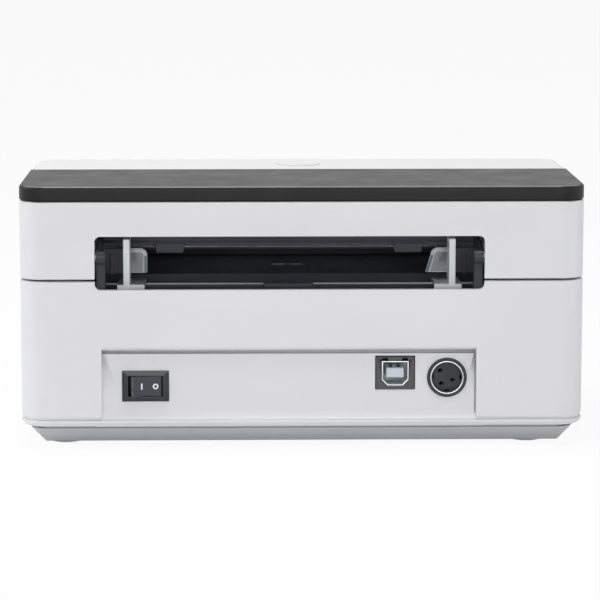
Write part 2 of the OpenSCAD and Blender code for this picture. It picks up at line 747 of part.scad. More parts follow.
module idler_axle() {
  color([0.7, 0.71, 0.72]) {
    xcyl(mx + cheek_hw + 0.3, gear_b1 + 1.2, idler_y, idler_z, axle_d);
    xcyl(gear_b1 + 0.15, gear_b1 + 0.8, idler_y, idler_z, 5.4);
  }
}

module stepper_motor() {
  color([0.55, 0.56, 0.58]) {
    difference() {
      union() {
        xcyl(motor_x1 - motor_len, motor_x1 - motor_flange_t, motor_y, motor_z, motor_d);
        xprism(motor_x1 - motor_flange_t, motor_x1) translate([motor_y, motor_z]) rotate(lug_ang) {
          circle(d = motor_d + 1);
          square([2 * lug_off, 2 * lug_r], center = true);
          for (s = [-1, 1]) translate([s * lug_off, 0]) circle(lug_r);
        }
        xcyl(motor_x1 - 0.5, motor_x1 + 1.6, motor_y, motor_z, 8.8);
        // lead exit
        box(motor_x1 - motor_len + 4, motor_x1 - motor_len + 12, motor_y + motor_d / 2 - 1.5,
          motor_y + motor_d / 2 + 2.2, motor_z - 6, motor_z + 6);
      }
      xcyl(motor_x1 - motor_len + 2, motor_x1 + 2, motor_y, motor_z, motor_shaft_d + 2 * run_fit);
      for (s = [-1, 1]) xcyl(motor_x1 - 2, motor_x1 + eps, motor_y + s * lug_off * cos(lug_ang),
        motor_z + s * lug_off * sin(lug_ang), 2.9);
    }
  }
}

module motor_screws() {
  color([0.6, 0.6, 0.62]) for (s = [-1, 1]) {
    y = motor_y + s * lug_off * cos(lug_ang);
    z = motor_z + s * lug_off * sin(lug_ang);
    xcyl(motor_x1 - motor_flange_t - 1.6, motor_x1 - motor_flange_t, y, z, 4.6);
    xcyl(motor_x1 - motor_flange_t - 0.2, cheek_x1, y, z, 2.55);
  }
}

module motor_shaft() {
  color([0.7, 0.71, 0.72]) xcyl(motor_x1 - motor_len + 2.2, gear_b1 + 0.6, motor_y, motor_z, motor_shaft_d);
}

module motor_pinion() {
  color([0.85, 0.7, 0.35]) difference() {
    xprism(gear_a1 - 0.2, gear_b1 + 0.3) translate([motor_y, motor_z])
      gear2d(gear_mod, motor_teeth, ang_im + 180 + 180 / motor_teeth);
    xcyl(cheek_x1 - eps, gear_b1 + 2, motor_y, motor_z, motor_shaft_d);
  }
}

module main_board() {
  color([0.1, 0.35, 0.2]) difference() {
    box(board_x0, board_x1, board_y0, board_y1, board_top - board_t, board_top);
    box(din_x - 7.3, din_x + 7.3, board_y1 - 13, board_y1 + eps, board_top - 3, board_top + eps);
    for (p = board_pts()) zcyl(p[0], p[1], board_top - 3, board_top + eps, 2.6);
  }
}

module board_screws() {
  color([0.6, 0.6, 0.62]) for (p = board_pts())
    screw_down(p[0], p[1], board_top + 1.5, 9, 2.1, 4.6, 1.5);
}

module board_chips() {
  color([0.12, 0.12, 0.13]) {
    box(-14, 0, board_y0 + 11, board_y0 + 25, board_top, board_top + 1.4);
    box(8, 17, board_y0 + 14, board_y0 + 20, board_top, board_top + 1.2);
    box(8, 17, board_y0 + 24, board_y0 + 30, board_top, board_top + 1.2);
    box(-40, -30, board_y0 + 8, board_y0 + 15, board_top, board_top + 1.6);
  }
}

module board_capacitors() {
  color([0.2, 0.22, 0.3]) {
    zcyl(-53, board_y0 + 12, board_top, board_top + 12, 10);
    zcyl(-43, board_y0 + 19, board_top, board_top + 9, 8);
    zcyl(-20, board_y0 + 8, board_top, board_top + 7, 6.3);
  }
}

module board_connectors() {
  color([0.93, 0.92, 0.86]) {
    for (x = [-5, 12]) difference() {
      box(x, x + 13, board_y0 + 1.5, board_y0 + 7, board_top, board_top + 6);
      box(x + 1, x + 12, board_y0 + 2.5, board_y0 + 6, board_top + 1.5, board_top + 7);
    }
    difference() {
      box(22, 32, board_y1 - 16, board_y1 - 10, board_top, board_top + 7);
      box(23, 31, board_y1 - 15, board_y1 - 11, board_top + 1.5, board_top + 8);
    }
  }
}

// D-shaped opening of the USB-B socket, sloping corners downwards
module usb_d() {
  hw = 4.25;
  top = board_top + 9.2;
  low = board_top + 1.3;
  polygon([[usb_x - hw, top], [usb_x + hw, top], [usb_x + hw, low + 1.8], [usb_x + hw - 1.8, low],
    [usb_x - hw + 1.8, low], [usb_x - hw, low + 1.8]]);
}

module usb_shell() {
  color([0.75, 0.76, 0.78]) difference() {
    box(usb_x - usb_w / 2, usb_x + usb_w / 2, usb_y - usb_depth, usb_y, board_top, board_top + usb_h);
    yprism(usb_y - 9.5, usb_y + eps) usb_d();
    box(usb_x - 2.85, usb_x + 2.85, usb_y - usb_depth + 0.6, usb_y - 9, board_top + 3.6, board_top + 6.85);
    for (s = [-1, 1]) box(usb_x + s * 3.2 - 1, usb_x + s * 3.2 + 1, usb_y - 6, usb_y + eps,
      board_top + 9, board_top + usb_h - 0.4);
  }
}

module usb_insert() {
  color([0.82, 0.87, 0.93]) box(usb_x - 2.8, usb_x + 2.8, usb_y - usb_depth + 0.7, usb_y - 1.2,
    board_top + 3.65, board_top + 6.8);
}

module power_socket() {
  y0 = recess_y - wall - 0.05;
  color([0.08, 0.08, 0.09]) difference() {
    union() {
      box(din_x - 7, din_x + 7, y0 - 12, y0, din_z - 7, din_z + 7);
      ycyl(y0 - 0.1, recess_y + 0.5, din_x, din_z, din_d);
    }
    ycyl(y0 - 8, recess_y + eps, din_x, din_z, din_ring_d);
  }
}

module power_socket_ring() {
  y0 = recess_y - wall - 8.05;
  color([0.75, 0.76, 0.78]) difference() {
    ycyl(y0, recess_y + 0.3, din_x, din_z, din_ring_d);
    ycyl(y0 - eps, recess_y + eps, din_x, din_z, din_ring_d - 2 * din_ring_t);
    box(din_x - 1, din_x + 1, recess_y - 3, recess_y + eps, din_z + 3, din_z + 6);
  }
}

module power_socket_insert() {
  y0 = recess_y - wall - 8.05;
  d = din_ring_d - 2 * din_ring_t;
  color([0.1, 0.1, 0.11]) difference() {
    ycyl(y0, recess_y - 0.9, din_x, din_z, d);
    for (p = [[-2.1, -1.9], [2, 1.2], [-1.7, 2.3]]) ycyl(y0 + 1.5, recess_y, din_x - p[0], din_z - p[1], 1.7);
    for (a = [0, 90, 180]) translate([din_x, 0, din_z]) rotate([0, a, 0])
      box(d / 2 - 0.6, d / 2 + 1, y0 + 1.5, recess_y, -0.7, 0.7);
  }
}

module switch_body() {
  y1 = recess_y + bezel_t;
  color([0.09, 0.09, 0.1]) difference() {
    union() {
      // bevelled frame
      box(switch_x - bezel_w / 2, switch_x + bezel_w / 2, recess_y, y1 - 0.5, switch_z - bezel_h / 2,
        switch_z + bezel_h / 2);
      box(switch_x - bezel_w / 2 + 0.7, switch_x + bezel_w / 2 - 0.7, recess_y, y1,
        switch_z - bezel_h / 2 + 0.7, switch_z + bezel_h / 2 - 0.7);
      box(switch_x - can_w / 2, switch_x + can_w / 2, recess_y - can_depth, recess_y + 0.1,
        switch_z - can_h / 2, switch_z + can_h / 2);
    }
    // rocker bay
    box(switch_x - rocker_w / 2 - 0.35, switch_x + rocker_w / 2 + 0.35, recess_y - 6.5, y1 + eps,
      switch_z - rocker_h / 2 - 0.05, switch_z + rocker_h / 2 + 0.05);
    zcyl(switch_x, rocker_y, switch_z - rocker_h / 2 - 0.8, switch_z + rocker_h / 2 + 0.8, 1.6 + 2 * run_fit);
  }
}

module switch_rocker() {
  h = rocker_w / 2;
  color([0.07, 0.07, 0.08]) translate([switch_x, rocker_y, 0]) {
    rotate([0, 0, rocker_tilt]) translate([0, 0, switch_z - rocker_h / 2]) linear_extrude(rocker_h)
      polygon([[-h + 0.2, 2.6], [-h + 1, 2.75], [0, 1.9], [h - 1, 2.75], [h - 0.2, 2.6], [h - 0.9, -1.4],
        [1.2, -3], [-1.2, -3], [-h + 0.9, -1.4]]);
    zcyl(0, 0, switch_z - rocker_h / 2 - 0.7, switch_z + rocker_h / 2 + 0.7, 1.6);
  }
}

module switch_terminals() {
  y1 = recess_y - can_depth;
  color([0.75, 0.76, 0.78]) for (x = [-4.4, 4.4])
    box(switch_x + x - 0.4, switch_x + x + 0.4, y1 - 7, y1, switch_z - 2.4, switch_z + 2.4);
}

module gap_sensor() {
  color([0.2, 0.2, 0.22]) difference() {
    box(mx - sensor_hw, mx + sensor_hw, sensor_y - 3, sensor_y + 3, ramp_top - 4.6, ramp_top - 0.2);
    zcyl(mx, sensor_y, ramp_top - 1.5, ramp_top + eps, 2.4);
  }
}

module hinge_pins() {
  color([0.7, 0.71, 0.72]) media_pair()
    xcyl(mx + ear_out - ear_t, mx + slot_hw + barrel_len - 0.5, hinge_y, hinge_z, pin_d);
}

module latch() {
  arm_x = latch_face - latch_len;
  difference() {
    union() {
      // slider with its push face
      box(latch_face - latch_len, latch_face, latch_y - latch_w / 2, latch_y + latch_w / 2, latch_z0,
        latch_z0 + latch_h);
      // arm and nose
      box(arm_x, arm_x + latch_arm, latch_y - 3, latch_y + 3, latch_z0 + latch_h - 1, nose_z + 2);
      yprism(latch_y - 3, latch_y + 3) polygon([[arm_x + latch_arm - 0.1, nose_z],
        [arm_x + latch_arm + 1.6, nose_z], [arm_x + latch_arm - 0.1, nose_z + 2]]);
    }
    // hollow slider
    box(latch_face - latch_len + latch_arm, latch_face - 1.8, latch_y - latch_w / 2 + 1.4,
      latch_y + latch_w / 2 - 1.4, latch_z0 + 1.4, latch_z0 + latch_h + 0.1);
    // spring seat
    xcyl(latch_face - latch_len - eps, latch_face - latch_len + 1.2, latch_y, latch_z0 + latch_h / 2, 5.4);
  }
}

module latch_left() {
  color([0.84, 0.84, 0.855]) latch();
}

module latch_right() {
  color([0.84, 0.84, 0.855]) mirror([1, 0, 0]) latch();
}

module latch_spring() {
  x0 = spring_wall;
  translate([x0, latch_y, latch_z0 + latch_h / 2]) rotate([0, 90, 0])
    coil(5, 0.6, latch_face - latch_len + 1.2 - x0, 5);
}

module latch_spring_left() {
  color([0.7, 0.71, 0.72]) latch_spring();
}

module latch_spring_right() {
  color([0.7, 0.71, 0.72]) mirror([1, 0, 0]) latch_spring();
}

// ---------------------------------------------------------------- lid

frame_x = lid_frame_hw - 6;
function frame_pts() = [[mx + frame_x, ridge_y - 4.2], [mx - frame_x, ridge_y - 4.2],
  [mx + frame_x, panel_y + 6], [mx - frame_x, panel_y + 6]];
peg_x = xs - 16;
peg_pts = [[peg_x, yr - 15.5], [-peg_x, yr - 15.5], [peg_x, yr - 43.5], [-peg_x, yr - 43.5]];
boss2_d = 6.4;

module upper_cover() {
  color([0.84, 0.84, 0.855]) difference() {
    union() {
      difference() {
        slab([[0.25, lid_z], [0, lid_z + 0.25], [0, body_h - 2], [0.27, body_h - 1], [1, body_h - 0.27],
          [2, body_h]]);
        // seat of the dark panel, with its outer edge eased
        box(-xs - eps, xs + eps, panel_y, yr + eps, panel_z, body_h + eps);
        difference() {
          box(-xs - eps, xs + eps, panel_y, yr + eps, panel_z - seat_edge, panel_z + eps);
          slab([[0, panel_z - seat_edge - eps], [0, panel_z - seat_edge], [seat_edge, panel_z],
            [seat_edge, panel_z + eps]]);
        }
        // inside, rear and front
        difference() {
          hollow(wall, lid_z - eps, strip_z);
          box(-xs, xs, panel_y - wall, yr, ceil_z, body_h);
        }
      }
      // hinge barrels on the rear wall
      media_pair() {
        xcyl(mx + slot_hw, mx + slot_hw + barrel_len, hinge_y, hinge_z, barrel_d);
        box(mx + slot_hw, mx + slot_hw + barrel_len, hinge_y - barrel_d / 2, yr - 1, hinge_z, hinge_z + 5);
      }
      // bosses for the lid's inner frame
      for (p = frame_pts()) zcyl(p[0], p[1], lid_frame_z + lid_frame_t, ceil_z + 0.1, boss2_d);
      // posts of the button board
      for (s = [-1, 1]) zcyl(s * post_x, button_y, board2_z + board2_t, strip_z + 0.1, 5);
      // latch catches
      side_pair() yprism(latch_y - 4, latch_y + 4) polygon([[xs - 1, nose_z - 3],
        [latch_face - latch_len + latch_arm + 1.9, nose_z - 1], [latch_face - latch_len + latch_arm + 1.9,
        nose_z - 0.3], [xs - 1, nose_z - 0.3]]);
      // stiffening ribs
      side_pair() for (y = [-26, 16]) box(xs - 6, xs - 1, y, y + 1.5, lid_z + 8, ceil_z + 0.1);
    }
    // upper half of the label slot
    yprism(yr - wall - 2.4, yr + eps) union() {
      translate([mx - slot_hw + slot_r, lid_z - eps]) square([slot_w - 2 * slot_r, slot_z1 - lid_z + eps]);
      translate([mx - slot_hw, lid_z - eps]) square([slot_w, slot_z1 - lid_z + eps - slot_r]);
      for (s = [-1, 1]) translate([mx + s * (slot_hw - slot_r), slot_z1 - slot_r]) circle(slot_r);
    }
    // pin holes in the barrels
    media_pair() xcyl(mx + slot_hw - eps, mx + slot_hw + barrel_len - 0.4, hinge_y, hinge_z,
      pin_d + 2 * run_fit);
    // label exit
    box(mx - exit_hw, mx + exit_hw, yf - eps, yf + wall + eps, lid_z - eps, lid_z + exit_h);
    // feed button
    zcyl(0, button_y, strip_z - eps, body_h + eps, button_d + 2 * button_gap);
    // screws and heat stakes
    for (p = frame_pts()) zcyl(p[0], p[1], lid_frame_z, ceil_z - 0.6, 2.2);
    for (s = [-1, 1]) zcyl(s * post_x, button_y, board2_z, strip_z - 1, 1.8);
    for (p = peg_pts) zcyl(p[0], p[1], ceil_z - eps, panel_z + eps, 3.2);
  }
}

module top_panel() {
  color([0.2, 0.2, 0.2]) {
    difference() {
      intersection() {
        slab([[0.4, panel_z], [0.4, panel_z + 0.35], [0, panel_z + 0.45], [0, body_h - 0.7],
          [0.2, body_h - 0.2], [0.7, body_h]]);
        box(-xs - eps, xs + eps, panel_y + 0.05, yr + eps, panel_z, body_h + eps);
      }
      intersection() {
        hollow(2, panel_z - eps, body_h - 2);
        box(-xs, xs, panel_y + 2.05, yr, panel_z - eps, body_h);
      }
    }
    for (x = [-44, 0, 44]) box(x - 0.8, x + 0.8, panel_y + 1, yr - 1, panel_z, body_h - 1);
    for (p = peg_pts) {
      zcyl(p[0], p[1], ceil_z - 0.9, body_h - 1, 3);
      zcyl(p[0], p[1], ceil_z - 0.9, ceil_z, 4.6);
    }
  }
}

module lid_frame() {
  hw = lid_frame_hw;
  y0 = pivot_y - 3;
  rib_z = lid_frame_z - liner_rib_h;
  color([0.2, 0.2, 0.215]) difference() {
    union() {
      box(mx - hw, mx + hw, y0, ridge_y + 1.2, lid_frame_z, lid_frame_z + lid_frame_t);
      // tongues over the head springs, with the button board between them
      media_pair() box(mx + spring_x - 15, mx + hw, yf + 8, y0 + 0.1, lid_frame_z, lid_frame_z + lid_frame_t);
      // ridge and hanging tabs
      box(mx - hw, mx + hw, ridge_y - 1.2, ridge_y + 1.2, ridge_z, lid_frame_z + 0.1);
      xprism(mx - hw, mx + hw) polygon([[ridge_y, ridge_z], [ridge_y + 1.9, ridge_z],
        [ridge_y + 1.9, ridge_z + 1.2], [ridge_y + 1.1, ridge_z + 2], [ridge_y, ridge_z + 2]]);
      media_pair() yprism(ridge_y - 0.8, ridge_y + 2.2) polygon([[mx + tab_off - tab_w / 2, ridge_z + 1],
        [mx + tab_off - tab_w / 2, tab_z + 0.5], [mx + tab_off - tab_w / 2 + 0.5, tab_z],
        [mx + tab_off + tab_w / 2 - 0.5, tab_z], [mx + tab_off + tab_w / 2, tab_z + 0.5],
        [mx + tab_off + tab_w / 2, ridge_z + 1]]);
      // end walls
      media_pair() box(mx + hw - 1.8, mx + hw, ridge_y - 22, ridge_y + 1.2, rib_z, lid_frame_z + 0.1);
      // ears of the head's pivot
      media_pair() box(mx + head_hw + 1.2, mx + head_hw + 3.6, pivot_y - 3, pivot_y + 3, pivot_z - 3,
        lid_frame_z + 0.1);
      // label ribs
      for (i = [-4:4])
        box(mx + i * hw / 5 - 0.5, mx + i * hw / 5 + 0.5, pivot_y + 6, ridge_y, rib_z, lid_frame_z + 0.1);
    }
    media_pair() xcyl(mx + head_hw, mx + head_hw + 5, pivot_y, pivot_z, pivot_d);
    for (p = frame_pts()) zcyl(p[0], p[1], lid_frame_z - eps, lid_frame_z + 5, 2.8);
    box(mx - sensor_hw - 0.1, mx + sensor_hw + 0.1, sensor_y - 3.1, sensor_y + 3.1, rib_z - 5,
      lid_frame_z + 5);
    // notches beside the tabs
    media_pair() for (s = [-1, 1]) translate([mx + tab_off + s * (tab_w / 2 + 1.2), 0, 0])
      box(-0.8, 0.8, ridge_y + 1, ridge_y + 3, ridge_z - eps, ridge_z + 1.9);
  }
}

module lid_screws() {
  head_t = 1.4;
  len = head_t + lid_frame_t + 0.75 * (ceil_z - lid_frame_z - lid_frame_t);
  color([0.6, 0.6, 0.62]) for (p = frame_pts())
    screw_up(p[0], p[1], lid_frame_z - head_t, len, 2.15, 4.6, head_t);
}

module head_bracket() {
  color([0.72, 0.73, 0.75]) difference() {
    union() {
      box(mx - head_hw, mx + head_hw, platen_y - 7, pivot_y + 2, bracket_z, bracket_z + bracket_t);
      media_pair() {
        box(mx + head_hw - 1.5, mx + head_hw, pivot_y - 7, pivot_y + 2, bracket_z, pivot_z);
        xcyl(mx + head_hw - 1.5, mx + head_hw, pivot_y, pivot_z, 6);
      }
    }
    media_pair() xcyl(mx + head_hw - 3, mx + head_hw + 1, pivot_y, pivot_z, pivot_d + 2 * run_fit);
    for (x = [-30, 30]) zcyl(mx + x, platen_y + 5.5, bracket_z - eps, bracket_z + 5, 2.8);
    box(mx - 16, mx + 16, pivot_y - 8, pivot_y - 2, bracket_z - eps, bracket_z + 5);
  }
}

module heat_sink() {
  y0 = platen_y - 6;
  color([0.78, 0.79, 0.8]) difference() {
    box(mx - sink_hw, mx + sink_hw, y0, platen_y + 9, sink_z, sink_z + sink_t);
    for (i = [0:2]) box(mx - head_hw, mx + head_hw, y0 + 8 + i * 2.6, y0 + 9.4 + i * 2.6, sink_z + 2.4,
      sink_z + sink_t - 0.8);
    for (x = [-30, 30]) zcyl(mx + x, platen_y + 5.5, sink_z + 1.2, sink_z + sink_t + eps, 2.2);
  }
}

module print_head() {
  color([0.55, 0.35, 0.25]) {
    box(mx - sink_hw, mx + sink_hw, platen_y - 4, platen_y + 8, head_z + 0.3, head_z + head_t);
    box(mx - sink_hw + 2, mx + sink_hw - 2, platen_y - 1, platen_y + 1, head_z, head_z + 0.4);
  }
}

module head_screws() {
  color([0.6, 0.6, 0.62]) for (x = [-30, 30])
    screw_down(mx + x, platen_y + 5.5, bracket_z + bracket_t + 1.4, 5, 2.15, 4.6, 1.4);
}

module head_pivot_pin() {
  color([0.7, 0.71, 0.72]) xcyl(mx - head_hw - 3.6, mx + head_hw + 3.6, pivot_y, pivot_z, pivot_d);
}

module head_springs() {
  z0 = bracket_z + bracket_t;
  color([0.7, 0.71, 0.72]) for (x = [-spring_x, spring_x])
    translate([mx + x, platen_y + 1, z0]) coil(6, 0.7, lid_frame_z - z0, 5);
}

module tear_bar() {
  n = 54;
  t = 0.6;
  y0 = yf + wall;
  z0 = lid_z + exit_h;
  color([0.75, 0.76, 0.78]) {
    yprism(y0, y0 + t) polygon(concat([[mx - n, z0 + 4]], [for (i = [-n:2:n - 1]) each [[mx + i, z0 - 0.3],
      [mx + i + 1, z0 - 1.3]]], [[mx + n, z0 - 0.3], [mx + n, z0 + 4]]));
    box(mx - n, mx + n, y0, y0 + 5, z0 + 3.4, z0 + 4);
  }
}

module feed_button() {
  stem_z = board2_z + board2_t + key_h + key_gap;
  color([0.84, 0.84, 0.855]) difference() {
    union() {
      zcyl(0, button_y, button_flange_z, button_top, button_d);
      zcyl(0, button_y, button_flange_z, strip_z - 0.05, button_d + 3);
      zcyl(0, button_y, stem_z, strip_z, button_stem);
    }
    difference() {
      zcyl(0, button_y, button_flange_z - eps, button_top - 1.6, button_d - 3);
      zcyl(0, button_y, stem_z - eps, button_top, button_stem);
    }
  }
}

module button_spring() {
  z0 = board2_z + board2_t;
  color([0.7, 0.71, 0.72]) translate([0, button_y, z0]) coil(13.6, 0.7, button_flange_z - z0, 3);
}

module button_board() {
  z1 = board2_z + board2_t;
  color([0.1, 0.35, 0.2]) {
    difference() {
      box(-board2_hw, board2_hw, button_y - board2_hd, button_y + board2_hd, board2_z, z1);
      for (s = [-1, 1]) zcyl(s * post_x, button_y, board2_z - eps, z1 + eps, 1.8);
    }
    box(-3, 3, button_y - 3, button_y + 3, z1, z1 + key_h);
  }
}

module sensor_lamp() {
  lamp_z = lid_frame_z - 3.7;
  color([0.25, 0.25, 0.27]) difference() {
    box(mx - sensor_hw, mx + sensor_hw, sensor_y - 3, sensor_y + 3, lamp_z, lid_frame_z + lid_frame_t);
    zcyl(mx, sensor_y, lamp_z - eps, lamp_z + 1, 2.4);
  }
}

lower_housing();
bottom_cover();
rubber_feet();
case_screws();
media_frame();
frame_screws();
left_guide();
right_guide();
guide_pinion();
pinion_screw();
platen_shaft();
platen_roller();
platen_bushings();
platen_gear();
idler_gear();
idler_axle();
stepper_motor();
motor_screws();
motor_shaft();
motor_pinion();
main_board();
board_chips();
board_capacitors();
board_connectors();
board_screws();
usb_shell();
usb_insert();
power_socket();
power_socket_ring();
power_socket_insert();
switch_body();
switch_rocker();
switch_terminals();
gap_sensor();
hinge_pins();
latch_left();
latch_right();
latch_spring_left();
latch_spring_right();
upper_cover();
top_panel();
lid_frame();
lid_screws();
head_bracket();
heat_sink();
print_head();
head_screws();
head_pivot_pin();
head_springs();
tear_bar();
feed_button();
button_spring();
button_board();
sensor_lamp();
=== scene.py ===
# %% [markdown]
# # A slim thermal label printer
# This lesson dresses a label printer that was built as an assembly in CAD. The solids are already at their
# real size and in their real place, so here they get their finishes, and the pieces that CAD draws plainly,
# such as the coil springs, are modelled again. Everything is in metres. The label slot and the sockets face
# +Y, the label exit faces -Y, and the feet stand on z = 0.

# %% Load the assembly
import json
from math import cos, degrees, pi, radians, sin

import bmesh
import bpy
from mathutils import Matrix, Vector


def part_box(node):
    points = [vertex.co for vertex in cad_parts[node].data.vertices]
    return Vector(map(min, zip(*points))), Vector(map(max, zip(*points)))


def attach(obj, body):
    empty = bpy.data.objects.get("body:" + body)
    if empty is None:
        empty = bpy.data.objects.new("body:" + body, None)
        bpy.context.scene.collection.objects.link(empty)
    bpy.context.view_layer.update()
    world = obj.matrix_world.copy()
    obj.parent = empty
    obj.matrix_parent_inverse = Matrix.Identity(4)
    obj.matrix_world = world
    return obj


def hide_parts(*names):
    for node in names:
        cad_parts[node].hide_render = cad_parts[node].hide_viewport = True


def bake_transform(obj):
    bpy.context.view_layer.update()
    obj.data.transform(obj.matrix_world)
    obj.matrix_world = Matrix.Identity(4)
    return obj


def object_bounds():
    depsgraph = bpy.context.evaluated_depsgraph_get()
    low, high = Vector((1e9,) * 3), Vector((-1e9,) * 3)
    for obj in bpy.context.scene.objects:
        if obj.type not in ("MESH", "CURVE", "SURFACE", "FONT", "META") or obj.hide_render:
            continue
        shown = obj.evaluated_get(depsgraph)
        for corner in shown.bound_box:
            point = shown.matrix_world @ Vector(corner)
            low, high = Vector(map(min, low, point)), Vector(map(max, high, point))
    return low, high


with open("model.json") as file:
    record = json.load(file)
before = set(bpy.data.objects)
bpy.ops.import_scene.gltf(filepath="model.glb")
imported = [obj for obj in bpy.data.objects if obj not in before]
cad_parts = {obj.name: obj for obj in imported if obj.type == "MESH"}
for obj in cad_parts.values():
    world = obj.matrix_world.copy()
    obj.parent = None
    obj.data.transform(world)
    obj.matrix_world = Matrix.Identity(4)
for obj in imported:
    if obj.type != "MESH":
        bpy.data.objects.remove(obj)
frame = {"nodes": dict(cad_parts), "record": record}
cad_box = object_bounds()
MM = 0.001
nodes = frame["nodes"]
body_of = {n: body for body, members in frame["record"]["behaviour"]["bodies"].items() for n in members}
slot_of = {s["node"]: s["material_slot"] for s in frame["record"]["subparts"]}

# %% [markdown]
# ## Finishes
# Every finish starts the same way: an empty material whose Principled shader is set directly, and a texture
# coordinate that reads the object's own space. All objects sit at the origin, so a grain of half a millimetre
# is half a millimetre on every piece. Grain on moulded plastic comes from the spark-eroded tool. It is far
# too small to model, so a noise texture bends the surface normal a little and moves the roughness by a few
# hundredths.


# %% An empty finish
def new_finish(name, colour, roughness, metallic=0.0, **sockets):
    """A material whose even values are set on the shader's own sockets."""
    mat = bpy.data.materials.new(name)
    mat.use_nodes = True
    shader = mat.node_tree.nodes["Principled BSDF"]
    shader.inputs["Base Color"].default_value = (*colour, 1)
    shader.inputs["Roughness"].default_value = roughness
    shader.inputs["Metallic"].default_value = metallic
    for socket, value in sockets.items():
        shader.inputs[socket.replace("_", " ")].default_value = value
    return mat, mat.node_tree, shader


# %% [markdown]
# ### What a noise can drive
# Noise is the raw stuff of every grain here. Its values rarely leave the band from 0.3 to 0.7, so that band
# is what gets mapped on to a range of roughness or a pair of colours. The same noise, read as a height, tilts
# the normal.

# %% Noise in object space
NOISE_LOW, NOISE_HIGH = 0.3, 0.7


def object_noise(tree, size_mm, detail=2.0, stretch=(1, 1, 1)):
    """Noise in object space whose blobs are about size_mm across."""
    place = tree.nodes.new("ShaderNodeTexCoord")
    mapping = tree.nodes.new("ShaderNodeMapping")
    noise = tree.nodes.new("ShaderNodeTexNoise")
    mapping.inputs["Scale"].default_value = stretch
    noise.inputs["Scale"].default_value = 1 / (size_mm * MM)
    noise.inputs["Detail"].default_value = detail
    tree.links.new(place.outputs["Object"], mapping.inputs["Vector"])
    tree.links.new(mapping.outputs["Vector"], noise.inputs["Vector"])
    return noise


def spread(tree, noise, low, high):
    """Maps a noise's middle range on to low..high."""
    ramp = tree.nodes.new("ShaderNodeMapRange")
    ramp.inputs["From Min"].default_value = NOISE_LOW
    ramp.inputs["From Max"].default_value = NOISE_HIGH
    ramp.inputs["To Min"].default_value = low
    ramp.inputs["To Max"].default_value = high
    tree.links.new(noise.outputs["Fac"], ramp.inputs["Value"])
    return ramp.outputs["Result"]


# %% Grain and colour from a noise
def bump(tree, shader, height, depth_mm):
    """Tilts the normal by a height map whose full swing is depth_mm."""
    node = tree.nodes.new("ShaderNodeBump")
    node.inputs["Distance"].default_value = depth_mm * MM
    node.inputs["Strength"].default_value = 1.0
    tree.links.new(height, node.inputs["Height"])
    tree.links.new(node.outputs["Normal"], shader.inputs["Normal"])


def two_tone(tree, shader, noise, dark, light):
    """Mixes two close colours by a noise."""
    ramp = tree.nodes.new("ShaderNodeValToRGB")
    ramp.color_ramp.elements[0].position = NOISE_LOW
    ramp.color_ramp.elements[1].position = NOISE_HIGH
    ramp.color_ramp.elements[0].color = (*dark, 1)
    ramp.color_ramp.elements[1].color = (*light, 1)
    tree.links.new(noise.outputs["Fac"], ramp.inputs["Fac"])
    tree.links.new(ramp.outputs["Color"], shader.inputs["Base Color"])


def shade(colour, factor):
    """The same colour, lighter or darker."""
    return tuple(c * factor for c in colour)


# %% [markdown]
# ## The plastics
# The shell is a cool off-white with a fine satin grain. The base under it is a mid grey, and its feet are
# nearly the same grey. The panel on the lid is charcoal, and everything inside the slot is dark, so that the
# eye reads only the label path. A dark plastic facing a bright room shows the room more than its own colour,
# so the darkest ones get a low index of refraction, which is what a fine matt texture does to the mirror part
# of the light. A few of these finishes are for part of a piece only, and paint light or shade on to it: a
# painted highlight on the panel's rear edge, on the ribs and on the slope of the switch's frame, painted
# shade on the guides' thin wings, and painted light on the walls of the USB socket's mouth. Each one has a
# fine grain, patches of a centimetre or two where the sheen changes a little, and a faint and larger cloud in
# its colour.

# %% Moulded plastic
SHEEN_PATCH_MM = 14
CLOUD_MM = 38


def moulded(name, colour, roughness, grain_mm=0.35, grain_depth_mm=0.006, cloud=0.03, **sockets):
    """Injection-moulded plastic: tool grain, a faint cloud in the colour and an uneven sheen."""
    mat, tree, shader = new_finish(name, colour, roughness, **sockets)
    grain = object_noise(tree, grain_mm, detail=3)
    bump(tree, shader, grain.outputs["Fac"], grain_depth_mm)
    sheen = object_noise(tree, SHEEN_PATCH_MM, detail=3)
    tree.links.new(spread(tree, sheen, roughness - 0.04, roughness + 0.04), shader.inputs["Roughness"])
    two_tone(tree, shader, object_noise(tree, CLOUD_MM), shade(colour, 1 - cloud), shade(colour, 1 + cloud))
    return mat


